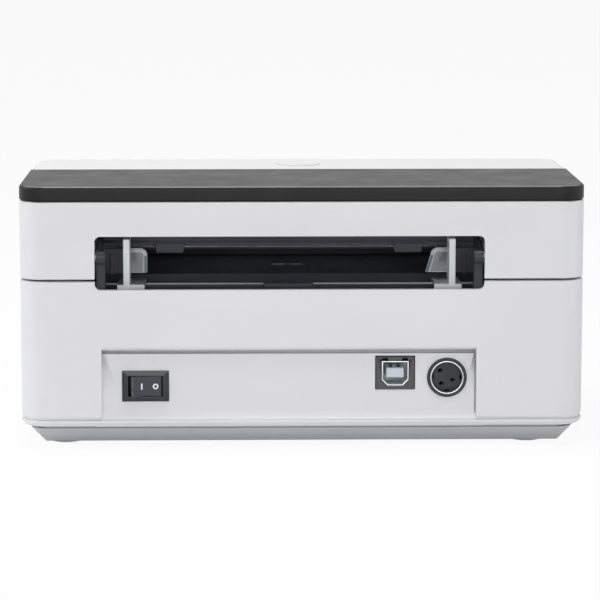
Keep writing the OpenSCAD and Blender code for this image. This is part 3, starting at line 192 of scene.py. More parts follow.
# %% Plastics
PLASTICS = {
    "white_shell": dict(colour=(0.72, 0.72, 0.745), roughness=0.42, cloud=0.012),
    "grey_base": dict(colour=(0.475, 0.495, 0.515), roughness=0.5, cloud=0.02),
    "black_panel": dict(colour=(0.006, 0.006, 0.0065), roughness=0.44, grain_mm=0.5, grain_depth_mm=0.012,
                        cloud=0.02, IOR=1.32),
    "dark_inner": dict(colour=(0.074, 0.079, 0.093), roughness=0.6, grain_mm=0.6, grain_depth_mm=0.014,
                       cloud=0.05, IOR=1.25),
    "path_wall": dict(colour=(0.19, 0.20, 0.23), roughness=0.6, grain_mm=0.6, grain_depth_mm=0.014),
    "rocker_black": dict(colour=(0.024, 0.028, 0.040), roughness=0.3, grain_mm=0.2, grain_depth_mm=0.002),
    # painted highlight: a lighter black for the switch frame's upper slope
    "slope_painted_highlight": dict(colour=(0.085, 0.088, 0.09), roughness=0.3, grain_mm=0.2, grain_depth_mm=0.002),
    # painted highlight: a lighter grey for the panel's rounded rear edge
    "panel_edge_painted_highlight": dict(colour=(0.17, 0.17, 0.175), roughness=0.4, grain_depth_mm=0.001),
    # painted light: the pale walls inside the USB socket's mouth
    "socket_lining_painted_light": dict(colour=(0.78, 0.86, 0.83), roughness=0.4, grain_depth_mm=0.001),
    # painted highlight: a light grey for the ribs' upper edges
    "rib_painted_highlight": dict(colour=(0.42, 0.425, 0.44), roughness=0.25, grain_mm=0.3, grain_depth_mm=0.003),
    "guide_grey": dict(colour=(0.76, 0.815, 0.83), roughness=0.34, cloud=0.03),
    # painted shade: a darker blue-grey for the guides' thin wings and the tops of their feet
    "guide_painted_shade": dict(colour=(0.28, 0.31, 0.33), roughness=0.34, cloud=0.03),
    "gear_white": dict(colour=(0.8, 0.8, 0.76), roughness=0.35, cloud=0.03),
    "black_plastic": dict(colour=(0.034, 0.037, 0.044), roughness=0.32, grain_mm=0.2, grain_depth_mm=0.002,
                          IOR=1.33),
    "chip_black": dict(colour=(0.02, 0.02, 0.022), roughness=0.55, cloud=0.08),
    "ivory": dict(colour=(0.75, 0.73, 0.65), roughness=0.45, cloud=0.03),
    "usb_tongue": dict(colour=(0.62, 0.69, 0.78), roughness=0.35, grain_depth_mm=0.002),
    "mark_white": dict(colour=(0.85, 0.85, 0.86), roughness=0.5, grain_mm=0.1, grain_depth_mm=0.001,
                       cloud=0.01),
    "foot_rubber": dict(colour=(0.50, 0.515, 0.53), roughness=0.7, grain_mm=0.8, grain_depth_mm=0.02),
    "roller_rubber": dict(colour=(0.12, 0.12, 0.13), roughness=0.75, grain_mm=0.25, grain_depth_mm=0.015),
    "head_ceramic": dict(colour=(0.10, 0.10, 0.105), roughness=0.15, grain_depth_mm=0.001, cloud=0.05),
}
finishes = {name: moulded(name, **look) for name, look in PLASTICS.items()}
print("plastics:", len(finishes))

# %% [markdown]
# ## The metals
# Ground and drawn metal carries fine lines in one direction. A noise that is stretched along that direction
# gives them. The tin on the sockets' sheet is dull and dark beside fresh steel, and only its rolled edges
# shine.


# %% Ground metal
def ground_metal(name, colour, roughness, stretch=(0.03, 1, 1), scratch_mm=0.3, depth_mm=0.002):
    """Metal with fine parallel tool lines along the axis that stretch leaves long."""
    mat, tree, shader = new_finish(name, colour, roughness, metallic=1.0)
    lines = object_noise(tree, scratch_mm, detail=4, stretch=stretch)
    bump(tree, shader, lines.outputs["Fac"], depth_mm)
    tree.links.new(spread(tree, lines, roughness - 0.08, roughness + 0.1), shader.inputs["Roughness"])
    return mat


# %% Metals
METALS = {
    "steel": dict(colour=(0.62, 0.62, 0.63), roughness=0.28),
    "dull_tin": dict(colour=(0.078, 0.077, 0.08), roughness=0.42, stretch=(1, 1, 0.05)),
    "bright_edge": dict(colour=(0.8, 0.8, 0.8), roughness=0.25, depth_mm=0.001),
    "screw_steel": dict(colour=(0.55, 0.55, 0.56), roughness=0.35, stretch=(1, 1, 0.2)),
    "spring_steel": dict(colour=(0.5, 0.5, 0.5), roughness=0.3, stretch=(1, 1, 1)),
    "aluminium": dict(colour=(0.77, 0.78, 0.8), roughness=0.34),
    "brass": dict(colour=(0.76, 0.58, 0.28), roughness=0.3),
}
finishes.update({name: ground_metal(name, **look) for name, look in METALS.items()})
print("with metals:", len(finishes))

# %% [markdown]
# ## The circuit boards
# Under the green solder mask the copper tracks show as slightly lighter bands. A brick texture in the board's
# plane draws long bands with thin gaps, and the same bands lift the surface by a few hundredths of a
# millimetre.

# %% Circuit board
TRACK_UNIT_MM = 12


def circuit_board(name, mask, track):
    """Solder mask over copper tracks that run along X."""
    mat, tree, shader = new_finish(name, mask, 0.25)
    place = tree.nodes.new("ShaderNodeTexCoord")
    bands = tree.nodes.new("ShaderNodeTexBrick")
    bands.inputs["Scale"].default_value = 1 / (TRACK_UNIT_MM * MM)
    bands.inputs["Brick Width"].default_value = 1.7
    bands.inputs["Row Height"].default_value = 0.11
    bands.inputs["Mortar Size"].default_value = 0.028
    bands.inputs["Color1"].default_value = (*track, 1)
    bands.inputs["Color2"].default_value = (*shade(track, 0.8), 1)
    bands.inputs["Mortar"].default_value = (*mask, 1)
    tree.links.new(place.outputs["Object"], bands.inputs["Vector"])
    tree.links.new(bands.outputs["Color"], shader.inputs["Base Color"])
    bump(tree, shader, bands.outputs["Fac"], -0.03)
    return mat


finishes["board"] = circuit_board("board", (0.010, 0.075, 0.03), (0.02, 0.13, 0.05))
print("finishes:", len(finishes))

# %% [markdown]
# ## Dressing the assembly
# The record names a material slot for every node. Each slot has a finish of the same name, so one loop
# dresses the whole assembly. Many of these nodes are hidden or small and stay as they are from here on.


# %% Give each CAD node its finish
def dress(obj, slot):
    """Gives an object one finish all over."""
    obj.data.materials.clear()
    obj.data.materials.append(finishes[slot])


for name, node in nodes.items():
    dress(node, slot_of[name])
print("dressed nodes:", len(nodes))

# %% [markdown]
# ## Working with operators
# An operator acts on whatever is selected, and the imported nodes arrive selected, so each new piece starts
# from a clean slate. A finished piece keeps its place in its mesh and its object at the origin, as the CAD
# nodes do.


# %% A clean start and applied modifiers
def start_clean():
    """Leaves edit mode and deselects everything."""
    if bpy.context.object and bpy.context.object.mode != "OBJECT":
        bpy.ops.object.mode_set(mode="OBJECT")
    bpy.ops.object.select_all(action="DESELECT")


def apply_modifiers(obj):
    """Applies all of an object's modifiers in their order."""
    bpy.context.view_layer.objects.active = obj
    for modifier in list(obj.modifiers):
        bpy.ops.object.modifier_apply(modifier=modifier.name)


# %% [markdown]
# ### How every piece ends
# Each piece goes through the same last steps, so they are one function. The place is applied to the mesh, the
# shading is set smooth below an angle, and the finish goes on. A spring rides on no body, and stays where it
# is built.


# %% Finish a piece
def finish_piece(obj, name, slot, body, angle=35, stands_for=(), finish=None, weighted=False, squeezed=None):
    """Names, settles and dresses a piece, and lets it ride on its body; a spring, given as squeezed, stays
    where it is built.
    """
    start_clean()
    obj.select_set(True)
    bpy.context.view_layer.objects.active = obj
    bpy.ops.object.transform_apply(location=True, rotation=True, scale=True)
    bpy.ops.object.shade_smooth_by_angle(angle=radians(angle))
    if weighted:
        flats_first = obj.modifiers.new("flat faces first", "WEIGHTED_NORMAL")
        flats_first.keep_sharp = True
        flats_first.weight = 90
        apply_modifiers(obj)
    obj.name = obj.data.name = name
    dress(obj, finish or slot)
    if squeezed:
        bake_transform(obj)
    else:
        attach(obj, body)
    if stands_for:
        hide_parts(*stands_for)
    print(name, "faces:", len(obj.data.polygons))
    return obj


# %% [markdown]
# ## Softened mouldings
# No moulded or pressed edge is knife sharp. It is rounded by a few tenths of a millimetre, and that small
# round is what catches the light and draws a bright line along a real housing. The CAD solids keep their
# edges sharp, so each piece that shows is copied, its loose triangles are merged into whole faces, and its
# long sharp edges are bevelled. Very short edges are passed over, because a bevel there would fold into
# itself. The Weighted Normal modifier then lets the large flat faces rule the shading, so that only the round
# itself looks round.


# %% Copy a node
def whole_copy(node):
    """A copy of a CAD node with its triangles merged to faces, left in edit mode."""
    start_clean()
    nodes[node].select_set(True)
    bpy.context.view_layer.objects.active = nodes[node]
    bpy.ops.object.duplicate()
    bpy.ops.object.mode_set(mode="EDIT")
    bpy.ops.mesh.select_all(action="SELECT")
    bpy.ops.mesh.remove_doubles(threshold=0.003 * MM)
    bpy.ops.mesh.dissolve_limited(angle_limit=radians(0.3), delimit=set())
    bpy.ops.mesh.select_mode(type="EDGE")
    bpy.ops.mesh.select_all(action="DESELECT")
    return bpy.context.object


# %% Bevel the sharp edges
def bevel_sharp_edges(obj, width_mm, shortest_mm, sharp=40):
    """Bevels the outer edges of a mesh in edit mode that are sharp and long enough."""
    mesh = bmesh.from_edit_mesh(obj.data)
    for edge in mesh.edges:
        long_enough = edge.calc_length() > shortest_mm * MM
        outer = edge.is_manifold and edge.is_convex
        edge.select_set(outer and long_enough and degrees(edge.calc_face_angle(0)) > sharp)
    bmesh.update_edit_mesh(obj.data)
    bpy.ops.mesh.bevel(offset=width_mm * MM, offset_type="WIDTH", segments=2, affect="EDGES",
                       clamp_overlap=False)
    bpy.ops.object.mode_set(mode="OBJECT")


# %% Soften a node
def soften(node, name, width_mm, shortest_mm=1.5, shape=None, **more):
    """Replaces a CAD node by a copy with softened edges. shape may cut it or move parts of it first."""
    obj = whole_copy(node)
    if shape:
        shape(obj)
    bevel_sharp_edges(obj, width_mm, shortest_mm)
    return finish_piece(obj, name, slot_of[node], body_of[node], angle=50, stands_for=[node],
                        weighted=True, **more)


# %% [markdown]
# ### A second finish on some faces
# A real moulding is one colour but not one surface: parts of it are rubbed, polished or catch the light on an
# edge. Faces are picked by a small test on their place and direction, and get a second material.


# %% Repaint some faces
def repaint(obj, finish, choose):
    """Gives the faces for which choose(face) is true a finish of their own, and counts them."""
    obj.data.materials.append(finishes[finish])
    picked = [face for face in obj.data.polygons if choose(face)]
    for face in picked:
        face.material_index = len(obj.data.materials) - 1
    print(obj.name, finish, "faces:", len(picked))


# %% [markdown]
# ## The housing and the groove of its recess
# The sockets sit in a shallow recess. In the mould its back wall is a separate insert, and a narrow gap runs
# along the top and one side of that insert. Seen straight on, the gap is the dark line under the recess's
# upper edge. Two long boxes cut it into the copy before the edges are softened, so that its rims are rounded
# too, and its walls are painted the base's darker grey: painted shade that makes the gap read as a dark line.

# %% Where the groove runs
RECESS_LEFT, RECESS_RIGHT, RECESS_TOP = -55.5, 64.0, cad_box[1][2] / MM - 52.6
GROOVE_HEIGHT = (RECESS_TOP - 1.5, RECESS_TOP - 0.35)
SIDE_GAP_WIDTH, SIDE_GAP_HEIGHT = (RECESS_LEFT - 0.15, RECESS_LEFT + 0.3), (RECESS_TOP - 21, RECESS_TOP)
SOCKET_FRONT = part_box("usb_shell")[1].y / MM
GROOVE_DEPTH = (SOCKET_FRONT - 1.8, SOCKET_FRONT + 0.2)
print("groove between", [round(z, 2) for z in GROOVE_HEIGHT], "mm")


# %% A box to start from
def add_box(low, high):
    """A plain box between two corners, as a start for a piece."""
    start_clean()
    bpy.ops.mesh.primitive_cube_add(size=1, location=[(a + b) / 2 for a, b in zip(low, high)])
    obj = bpy.context.object
    obj.scale = [b - a for a, b in zip(low, high)]
    bpy.ops.object.transform_apply(location=True, scale=True)
    return obj


# %% Cut the groove
def cut_groove(obj):
    """A narrow gap along the top and one side of the socket recess, where the mould's insert was set."""
    bpy.ops.object.mode_set(mode="OBJECT")
    gaps = (((RECESS_LEFT, RECESS_RIGHT), GROOVE_HEIGHT), (SIDE_GAP_WIDTH, SIDE_GAP_HEIGHT))
    cutters = []
    for (x0, x1), (z0, z1) in gaps:
        low = (x0 * MM, GROOVE_DEPTH[0] * MM, z0 * MM)
        high = (x1 * MM, GROOVE_DEPTH[1] * MM, z1 * MM)
        cutters.append(add_box(low, high))
    for cutter in cutters:
        groove = obj.modifiers.new("groove", "BOOLEAN")
        groove.operation = "DIFFERENCE"
        groove.object = cutter
        groove.solver = "EXACT"
    apply_modifiers(obj)
    for cutter in cutters:
        bpy.data.objects.remove(cutter)
    start_clean()
    obj.select_set(True)
    bpy.context.view_layer.objects.active = obj
    bpy.ops.object.mode_set(mode="EDIT")
    bpy.ops.mesh.select_mode(type="EDGE")


# %% Housing
def in_groove(face):
    """The walls of the narrow gap, painted darker as shade, which lie 0.7 to 1.9 mm behind the front of the
    USB socket.
    """
    behind = SOCKET_FRONT - face.center.y / MM
    return 0.7 < behind < 1.9 and -1.6 < face.center.z / MM - RECESS_TOP < 0.2


housing = soften("lower_housing", "housing_shell", 0.35, shape=cut_groove)
# Painted shade: the groove's walls get the base's darker grey.
repaint(housing, "grey_base", in_groove)

# %% [markdown]
# ## The lid, its panel and the base
# The lid is a white shell with a charcoal panel let into its top. The panel's rounded rear edge gets a
# lighter grey than its top, a painted highlight for the thin line of light that it catches. The base is a
# shallow tray with a bevelled edge. The latch keys at the sides are small, so only their longer edges are
# rounded.

# %% Lid, panel, base and latch keys
PANEL_EDGE_Z = 83.4 * MM


def on_rear_edge(face):
    """The rounded upper edge at the rear of the lid's panel."""
    return face.center.z > PANEL_EDGE_Z and face.normal.y > 0.25 and face.normal.z > 0.5


soften("upper_cover", "lid_shell", 0.35)
panel = soften("top_panel", "lid_panel", 0.3)
# Painted highlight: the panel's rounded rear edge gets a lighter grey.
repaint(panel, "panel_edge_painted_highlight", on_rear_edge)
soften("bottom_cover", "base_tray", 0.35)
soften("latch_left", "left_latch_key", 0.3, shortest_mm=3)
soften("latch_right", "right_latch_key", 0.3, shortest_mm=3)

# %% [markdown]
# ## The label path
# The deck and the lid's frame meet the label with rounded edges, so these rounds are the widest. From behind,
# the deck's front edge shows as one thin light line. The height of the deck is measured by a ray from above,
# because the guides and the ribs are found by their height over it.


# %% Deck and lid frame
deck = soften("media_frame", "label_deck", 0.6)
soften("lid_frame", "lid_liner", 0.4)
_, spot, _, _ = deck.ray_cast(Vector((0, cad_box[1][1] - 4 * MM, 0.06)), Vector((0, 0, -1)))
DECK_TOP = spot.z
print("deck top at", round(DECK_TOP / MM, 2), "mm")

# %% [markdown]
# ## The guides
# Each guide is an upright plate on a foot, with a thin wing that keeps the label flat. The right guide's wing
# leans a little at its free edge, as moulded: the lower corner is moved towards the middle before the edges
# are softened.

# %% Guides
WING_LOW_MM = 4.35
LEAN_MM = 1.7


def lean_free_edge(obj):
    """Moves the lower end of the wing's free edge towards the middle of the label path."""
    mesh = bmesh.from_edit_mesh(obj.data)
    reach = max(v.co.x for v in mesh.verts if v.co.z > DECK_TOP + 4 * MM)
    for vert in mesh.verts:
        if vert.co.x > reach - 1.5 * MM and abs(vert.co.z - DECK_TOP - WING_LOW_MM * MM) < 0.1 * MM:
            vert.co.x += LEAN_MM * MM
            print("wing corner moved at y", round(vert.co.y / MM, 2))
    bmesh.update_edit_mesh(obj.data)


left_plate = soften("left_guide", "left_guide_plate", 0.4, shortest_mm=1.2)
right_plate = soften("right_guide", "right_guide_plate", 0.4, shortest_mm=1.2, shape=lean_free_edge)

# %% [markdown]
# ### Painted highlight on the ribs, painted shade on the wings
# Two finishes paint light and shade on these pieces. The upper edges of the two low ribs across the deck get
# a light grey with a smoother surface, a painted highlight for the glint they catch. The broad faces of the
# guides' thin wings and the flat tops of their feet get a darker blue-grey, which is painted shade, and the
# plate, seen on its edge, keeps its light grey. Faces are picked by their place and size, and get a second
# material.

# %% Faces of the deck
RIB_IN_MM = 12
BLOCK_X_MM = 4.3


def on_rib_top(face):
    """The upper edges of the two ribs across the deck, on both sides of its middle block."""
    from_rib = abs(face.center.y - (cad_box[1][1] - RIB_IN_MM * MM))
    from_block = abs(face.center.x - BLOCK_X_MM * MM)
    height = face.center.z - DECK_TOP
    return from_rib < 0.56 * MM and from_block > 10 * MM and 1.15 * MM < height < 1.7 * MM


def on_ear_or_pocket(face):
    """The hinge ears beside the slot and the rear edge of the sensor's pocket, which get a smoother, darker
    finish as painted shade.
    """
    x, y = face.center.x / MM, face.center.y / MM
    ear = y > 40 and (x > 62.5 or x < -54.5)
    pocket = abs(y + 6.2) < 0.5 and abs(x - 4) < 9
    return ear or pocket


# Painted highlight: the ribs' upper edges get a light grey.
repaint(deck, "rib_painted_highlight", on_rib_top)
# Painted shade: the ears and the pocket's rear edge get the darker black finish.
repaint(deck, "black_plastic", on_ear_or_pocket)


# %% Faces of the guides
def on_wing(plate_x, side):
    """A test for the broad faces of a wing, which lie further inwards than the plate at plate_x."""
    def choose(face):
        inward = (plate_x - face.center.x) * side
        return inward > 0.3 * MM and face.center.z > DECK_TOP + 4 * MM and face.area > 4 * MM * MM
    return choose


def on_foot(face):
    """The flat top of a guide's foot."""
    return face.normal.z > 0.9 and face.center.z < DECK_TOP + 3 * MM


FOOT_PAST_PLATE = 4.1 * MM
# Painted shade: the wings' broad faces and the left foot's top get the darker blue-grey.
repaint(left_plate, "guide_painted_shade", on_wing(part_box("left_guide")[1].x - FOOT_PAST_PLATE, 1))
repaint(left_plate, "guide_painted_shade", on_foot)
repaint(right_plate, "guide_painted_shade", on_wing(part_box("right_guide")[0].x + FOOT_PAST_PLATE, -1))

# %% [markdown]
# ## The ends of the label path
# Beside each guide a low wall closes the label path, so that nothing slips past the guide and the drive stays
# out of sight. It is a thin upright plate with a short rib up its middle, two rounded boxes joined to one
# piece.


# %% Round the edges and join
def round_edges(obj, width_mm):
    """Adds a bevel of two segments as a modifier."""
    rounding = obj.modifiers.new("rounded", "BEVEL")
    rounding.width = width_mm * MM
    rounding.segments = 2


def join(objects):
    """Makes one object of several."""
    start_clean()
    for obj in objects:
        obj.select_set(True)
    bpy.context.view_layer.objects.active = objects[0]
    bpy.ops.object.join()
    return bpy.context.object


# %% Ends of the label path
WALL_REAR_MM = 18.4
WALL_FOOT_MM = 52.6


def path_wall(name, x0, x1):
    """A dark upright wall that closes the label path beside a guide, with a rib up its middle."""
    middle = (x0 + x1) / 2
    parts = []
    for left, right, thick, top in ((x0, x1, 1.2, 61.2), (middle - 0.6, middle + 0.6, 2.2, 59.5)):
        part = add_box((left * MM, WALL_REAR_MM * MM, WALL_FOOT_MM * MM),
                       (right * MM, (WALL_REAR_MM + thick) * MM, top * MM))
        round_edges(part, 0.3)
        apply_modifiers(part)
        parts.append(part)
    finish_piece(join(parts), name, slot_of["media_frame"], "base", finish="path_wall")


path_wall("left_path_wall", 57.6, 65.4)
path_wall("right_path_wall", -57.4, -49.4)

# %% [markdown]
# ## Cut and ground pieces inside
# With the lid open, the print head, the bracket and heat sink behind it, and the tear bar come into view.
# They are sheet metal, extruded aluminium and a ground ceramic strip, so their edges are rounded far less
# than a moulding's. The main board in the base is cut from sheet too.

# %% Head, tear bar and main board
soften("tear_bar", "tear_edge", 0.1)
soften("heat_sink", "head_sink", 0.2)
soften("head_bracket", "head_carrier", 0.2)
soften("print_head", "head_plate", 0.12)
soften("main_board", "circuit_board_main", 0.1)

# %% [markdown]
# ## Coil springs
# A spring is a round wire on a helix. A small circle, stood on its edge beside the axis, becomes the wire
# when the Screw modifier turns and lifts it, and its two ends are then closed.


# %% Normals that face outwards
def face_outwards():
    """Turns all faces of the mesh that is being worked on outwards, and leaves edit mode."""
    bpy.ops.object.mode_set(mode="EDIT")
    bpy.ops.mesh.select_all(action="SELECT")
    bpy.ops.mesh.normals_make_consistent(inside=False)
    bpy.ops.object.mode_set(mode="OBJECT")


# %% A coil
def coil(foot, axis, across, wire, length, turns):
    """A coil along axis that stands on foot, the centre of its lower end. Other sizes are in mm."""
    start_clean()
    bpy.ops.mesh.primitive_circle_add(vertices=10, radius=wire / 2 * MM, rotation=(pi / 2, 0, 0))
    obj = bpy.context.object
    bpy.ops.object.transform_apply(rotation=True)
    bpy.ops.object.mode_set(mode="EDIT")
    bpy.ops.mesh.select_all(action="SELECT")
    bpy.ops.transform.translate(value=((across - wire) / 2 * MM, 0, wire / 2 * MM))
    bpy.ops.object.mode_set(mode="OBJECT")
    screw = obj.modifiers.new("helix", "SCREW")
    screw.axis = "Z"
    screw.iterations = 1
    screw.angle = 2 * pi * turns
    screw.screw_offset = (length - wire) * MM
    screw.steps = screw.render_steps = int(20 * turns)
    apply_modifiers(obj)
    bpy.ops.object.mode_set(mode="EDIT")
    bpy.ops.mesh.select_all(action="DESELECT")
    bpy.ops.mesh.select_mode(type="EDGE")
    bpy.ops.mesh.select_non_manifold()
    bpy.ops.mesh.fill_holes(sides=0)
    face_outwards()
    obj.matrix_world = Matrix.Translation(foot) @ axis.to_track_quat("Z", "Y").to_matrix().to_4x4()
    return obj


# %% Latch springs
def node_box(name):
    """The lowest and highest corner of a CAD node, and its centre."""
    low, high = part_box(name)
    return low, high, (low + high) / 2


for side, outward in (("left", 1), ("right", -1)):
    low, high, centre = node_box("latch_spring_" + side)
    foot, tip = Vector((low.x, centre.y, centre.z)), Vector((high.x, centre.y, centre.z))
    if outward < 0:
        foot, tip = tip, foot
    spring = coil(foot, Vector((outward, 0, 0)), across=5, wire=0.6, length=(high.x - low.x) / MM, turns=5)
    finish_piece(spring, "latch_coil_" + side, "spring_steel", "base", stands_for=["latch_spring_" + side],
                 squeezed=(side + "_latch", foot, tip))

# %% Button spring and head springs
low, high, centre = node_box("button_spring")
foot, tip = Vector((centre.x, centre.y, low.z)), Vector((centre.x, centre.y, high.z))
spring = coil(foot, Vector((0, 0, 1)), across=13.6, wire=0.6, length=(high.z - low.z) / MM, turns=3)
finish_piece(spring, "button_coil", "spring_steel", "lid", stands_for=["button_spring"],
             squeezed=("button", foot, tip))

low, high, centre = node_box("head_springs")
pair = []
for x in (low.x + 3 * MM, high.x - 3 * MM):
    pair.append(coil(Vector((x, centre.y, low.z)), Vector((0, 0, 1)), across=6, wire=0.7,
                     length=(high.z - low.z) / MM, turns=5))
foot, tip = Vector((centre.x, centre.y, high.z)), Vector((centre.x, centre.y, low.z))
finish_piece(join(pair), "head_coils", "spring_steel", "lid", stands_for=["head_springs"],
             squeezed=("head", foot, tip))

# %% [markdown]
# ## The power switch
# A snap-in rocker switch has a frame with a sloping face all round, a deep bay and a body behind the panel.
# It is grown from one box: its rear face is spread to the frame's size, pulled out for the rim, pulled in for
# the slope, narrowed to the bay and pushed back in. Each step is an extrusion with a move and a scale.


# %% Faces that grow along Y
def pick_rear_face(obj):
    """Selects the faces of a mesh in edit mode that lie furthest along +Y."""
    bpy.ops.mesh.select_mode(type="FACE")
    bpy.ops.mesh.select_all(action="DESELECT")
    mesh = bmesh.from_edit_mesh(obj.data)
    far = max(f.calc_center_median().y for f in mesh.faces)
    for face in mesh.faces:
        face.select_set(face.calc_center_median().y > far - 1e-7)
    bmesh.update_edit_mesh(obj.data)


def grow(centre, forward_mm, old, new):
    """Extrudes the picked face along +Y and scales it from its old to its new width and height."""
    bpy.ops.mesh.extrude_region_move(TRANSFORM_OT_translate={"value": (0, forward_mm * MM, 0)})
    bpy.ops.transform.resize(value=(new[0] / old[0], 1, new[1] / old[1]), center_override=centre)
    return new


# %% Switch frame
low, high, centre = node_box("switch_body")
BEZEL_T, RIM_T, BAY_DEPTH = 1.3, 0.35, 7.6
frame_size = ((high.x - low.x) / MM, (high.z - low.z) / MM)
can_size, face_size, bay_size = (13.0, 8.6), (11.6, 7.3), (11.0, 6.72)
panel_y = high.y - BEZEL_T * MM
can_half = Vector((can_size[0] / 2 * MM, 0, can_size[1] / 2 * MM))
inner_end, outer_end = Vector((centre.x, low.y, centre.z)), Vector((centre.x, panel_y, centre.z))
switch = add_box(inner_end - can_half, outer_end + can_half)
bpy.ops.object.mode_set(mode="EDIT")
pick_rear_face(switch)
size = grow(centre, 0, can_size, frame_size)
size = grow(centre, RIM_T, size, frame_size)
size = grow(centre, BEZEL_T - RIM_T, size, face_size)
size = grow(centre, 0, size, bay_size)
grow(centre, -BAY_DEPTH, size, bay_size)
bpy.ops.mesh.select_mode(type="EDGE")
bevel_sharp_edges(switch, 0.15, 3, sharp=20)
finish_piece(switch, "switch_frame", "black_plastic", "base", stands_for=["switch_body"], weighted=True)


def on_upper_slope(face):
    """The sloping face above the key, which looks up at the light and gets a lighter black as a painted
    highlight.
    """
    return face.normal.z > 0.3 and face.normal.y > 0.3 and face.center.y > panel_y


# Painted highlight: the frame's upper slope gets a lighter black.
repaint(switch, "slope_painted_highlight", on_upper_slope)

# %% [markdown]
# ## The rocker and its marks
# The key is a shallow V that tips about its middle, so one half always stands a little steeper. The stroke
# and the ring that say on and off are printed thick enough to feel. A ray cast on to the key from behind
# finds the surface and its slope at each mark, and the mark is laid on it there.

# %% Rocker
rocker = soften("switch_rocker", "rocker_key", 0.25, shortest_mm=3, finish="rocker_black")


def lay_on(mark, under, x, z):
    """Turns a mark that was made facing +Y, and sets it on a piece's surface at x, z."""
    found, spot, normal, _ = under.ray_cast(Vector((x, 1, z)), Vector((0, -1, 0)))
    turn = Vector((0, 1, 0)).rotation_difference(normal)
    mark.matrix_world = Matrix.Translation(spot) @ turn.to_matrix().to_4x4()
    print("mark laid:", found, "slope", round(degrees(turn.angle), 1))


# %% On and off marks
centre = node_box("switch_rocker")[2]
stroke_half = Vector((0.25, 0.06, 1.0)) * MM
stroke = add_box(-stroke_half, stroke_half)
round_edges(stroke, 0.05)
apply_modifiers(stroke)
lay_on(stroke, rocker, centre.x + 1.5 * MM, centre.z)
finish_piece(stroke, "on_mark", "gear_white", "power_rocker", finish="mark_white")
start_clean()
bpy.ops.mesh.primitive_torus_add(major_radius=0.69 * MM, minor_radius=0.23 * MM, major_segments=40,
                                 minor_segments=10, rotation=(pi / 2, 0, 0))
ring = bpy.context.object
ring.scale = (1, 1, 0.3)
bpy.ops.object.transform_apply(rotation=True, scale=True)
lay_on(ring, rocker, centre.x - 2.9 * MM, centre.z)
finish_piece(ring, "off_mark", "gear_white", "power_rocker", finish="mark_white")

# %% [markdown]
# ## The USB-B socket
# The socket is a box of folded sheet with a D-shaped mouth, whose rolled edge is the only bright line on it.
# Inside stands the pale tongue with two contacts above and two below. The contacts are brass, but they lie in
# the shade of the mouth, so they get a black finish as painted shade. The edge starts as a circle of six
# points that are moved to the corners of the mouth, is extruded inwards and gets its thickness from Solidify.

# %% Shell of the socket
can = soften("usb_shell", "usb_can", 0.15, finish="dull_tin")
MOUTH_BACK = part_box("usb_shell")[1].y - 3 * MM
# Painted light: the faces deep in the mouth get the pale lining colour.
repaint(can, "socket_lining_painted_light", lambda face: face.normal.y > 0.9 and face.center.y < MOUTH_BACK)

# %% Outline of its mouth
shell_low, shell_high, shell = node_box("usb_shell")
MOUTH_HALF, MOUTH_LOW, MOUTH_TOP, MOUTH_CUT = 4.25, 1.3, 9.2, 1.8
MOUTH_MIDDLE = (MOUTH_LOW + MOUTH_TOP) / 2
corners = [(MOUTH_HALF, MOUTH_TOP), (-MOUTH_HALF, MOUTH_TOP), (-MOUTH_HALF, MOUTH_LOW + MOUTH_CUT),
           (MOUTH_CUT - MOUTH_HALF, MOUTH_LOW), (MOUTH_HALF - MOUTH_CUT, MOUTH_LOW),
           (MOUTH_HALF, MOUTH_LOW + MOUTH_CUT)]


def mouth_outline(y, scale):
    """The six corners of the D-shaped mouth as a wire, shrunk about its middle."""
    start_clean()
    bpy.ops.mesh.primitive_circle_add(vertices=6, radius=MM)
    wire = bpy.context.object
    for vert, (x, z) in zip(wire.data.vertices, corners):
        height = MOUTH_MIDDLE + (z - MOUTH_MIDDLE) * scale
        vert.co = (shell.x + x * scale * MM, y, shell_low.z + height * MM)
    return wire


# %% Rolled edge
RIM_PROUD_MM = 0.02
edge = mouth_outline(shell_high.y + RIM_PROUD_MM * MM, 1.0)
bpy.ops.object.mode_set(mode="EDIT")
bpy.ops.mesh.select_all(action="SELECT")
bpy.ops.mesh.extrude_region_move()
bpy.ops.transform.resize(value=(0.93, 1, 0.93), center_override=(shell.x, 0, shell_low.z + MOUTH_MIDDLE * MM))
bpy.ops.object.mode_set(mode="OBJECT")
thickness = edge.modifiers.new("sheet", "SOLIDIFY")
thickness.thickness = 0.5 * MM
thickness.offset = 0
round_edges(edge, 0.1)
apply_modifiers(edge)
face_outwards()
finish_piece(edge, "usb_rolled_edge", "steel", "base", finish="bright_edge")

# %% [markdown]
# ### The lining of the mouth
# The sheet is the same tin inside the mouth as outside, but its inner walls catch the light, and a pale
# colour paints that light on them; the pale walls also light up what stands inside. A thin tube of the same
# outline carries this painted light, from just behind the rolled edge to the back.

# %% Lining of the mouth
LINING_FROM_MM, LINING_LONG_MM = 9.4, 9.2
# Painted light: a pale tube along the mouth's walls.
lining = mouth_outline(shell_high.y - LINING_FROM_MM * MM, 0.995)
bpy.ops.object.mode_set(mode="EDIT")
bpy.ops.mesh.select_all(action="SELECT")
bpy.ops.mesh.extrude_region_move(TRANSFORM_OT_translate={"value": (0, LINING_LONG_MM * MM, 0)})
face_outwards()
wall = lining.modifiers.new("wall", "SOLIDIFY")
wall.thickness = 0.15 * MM
wall.offset = -1
apply_modifiers(lining)
finish_piece(lining, "usb_mouth_painted_light", "steel", "base", finish="socket_lining_painted_light", angle=20)

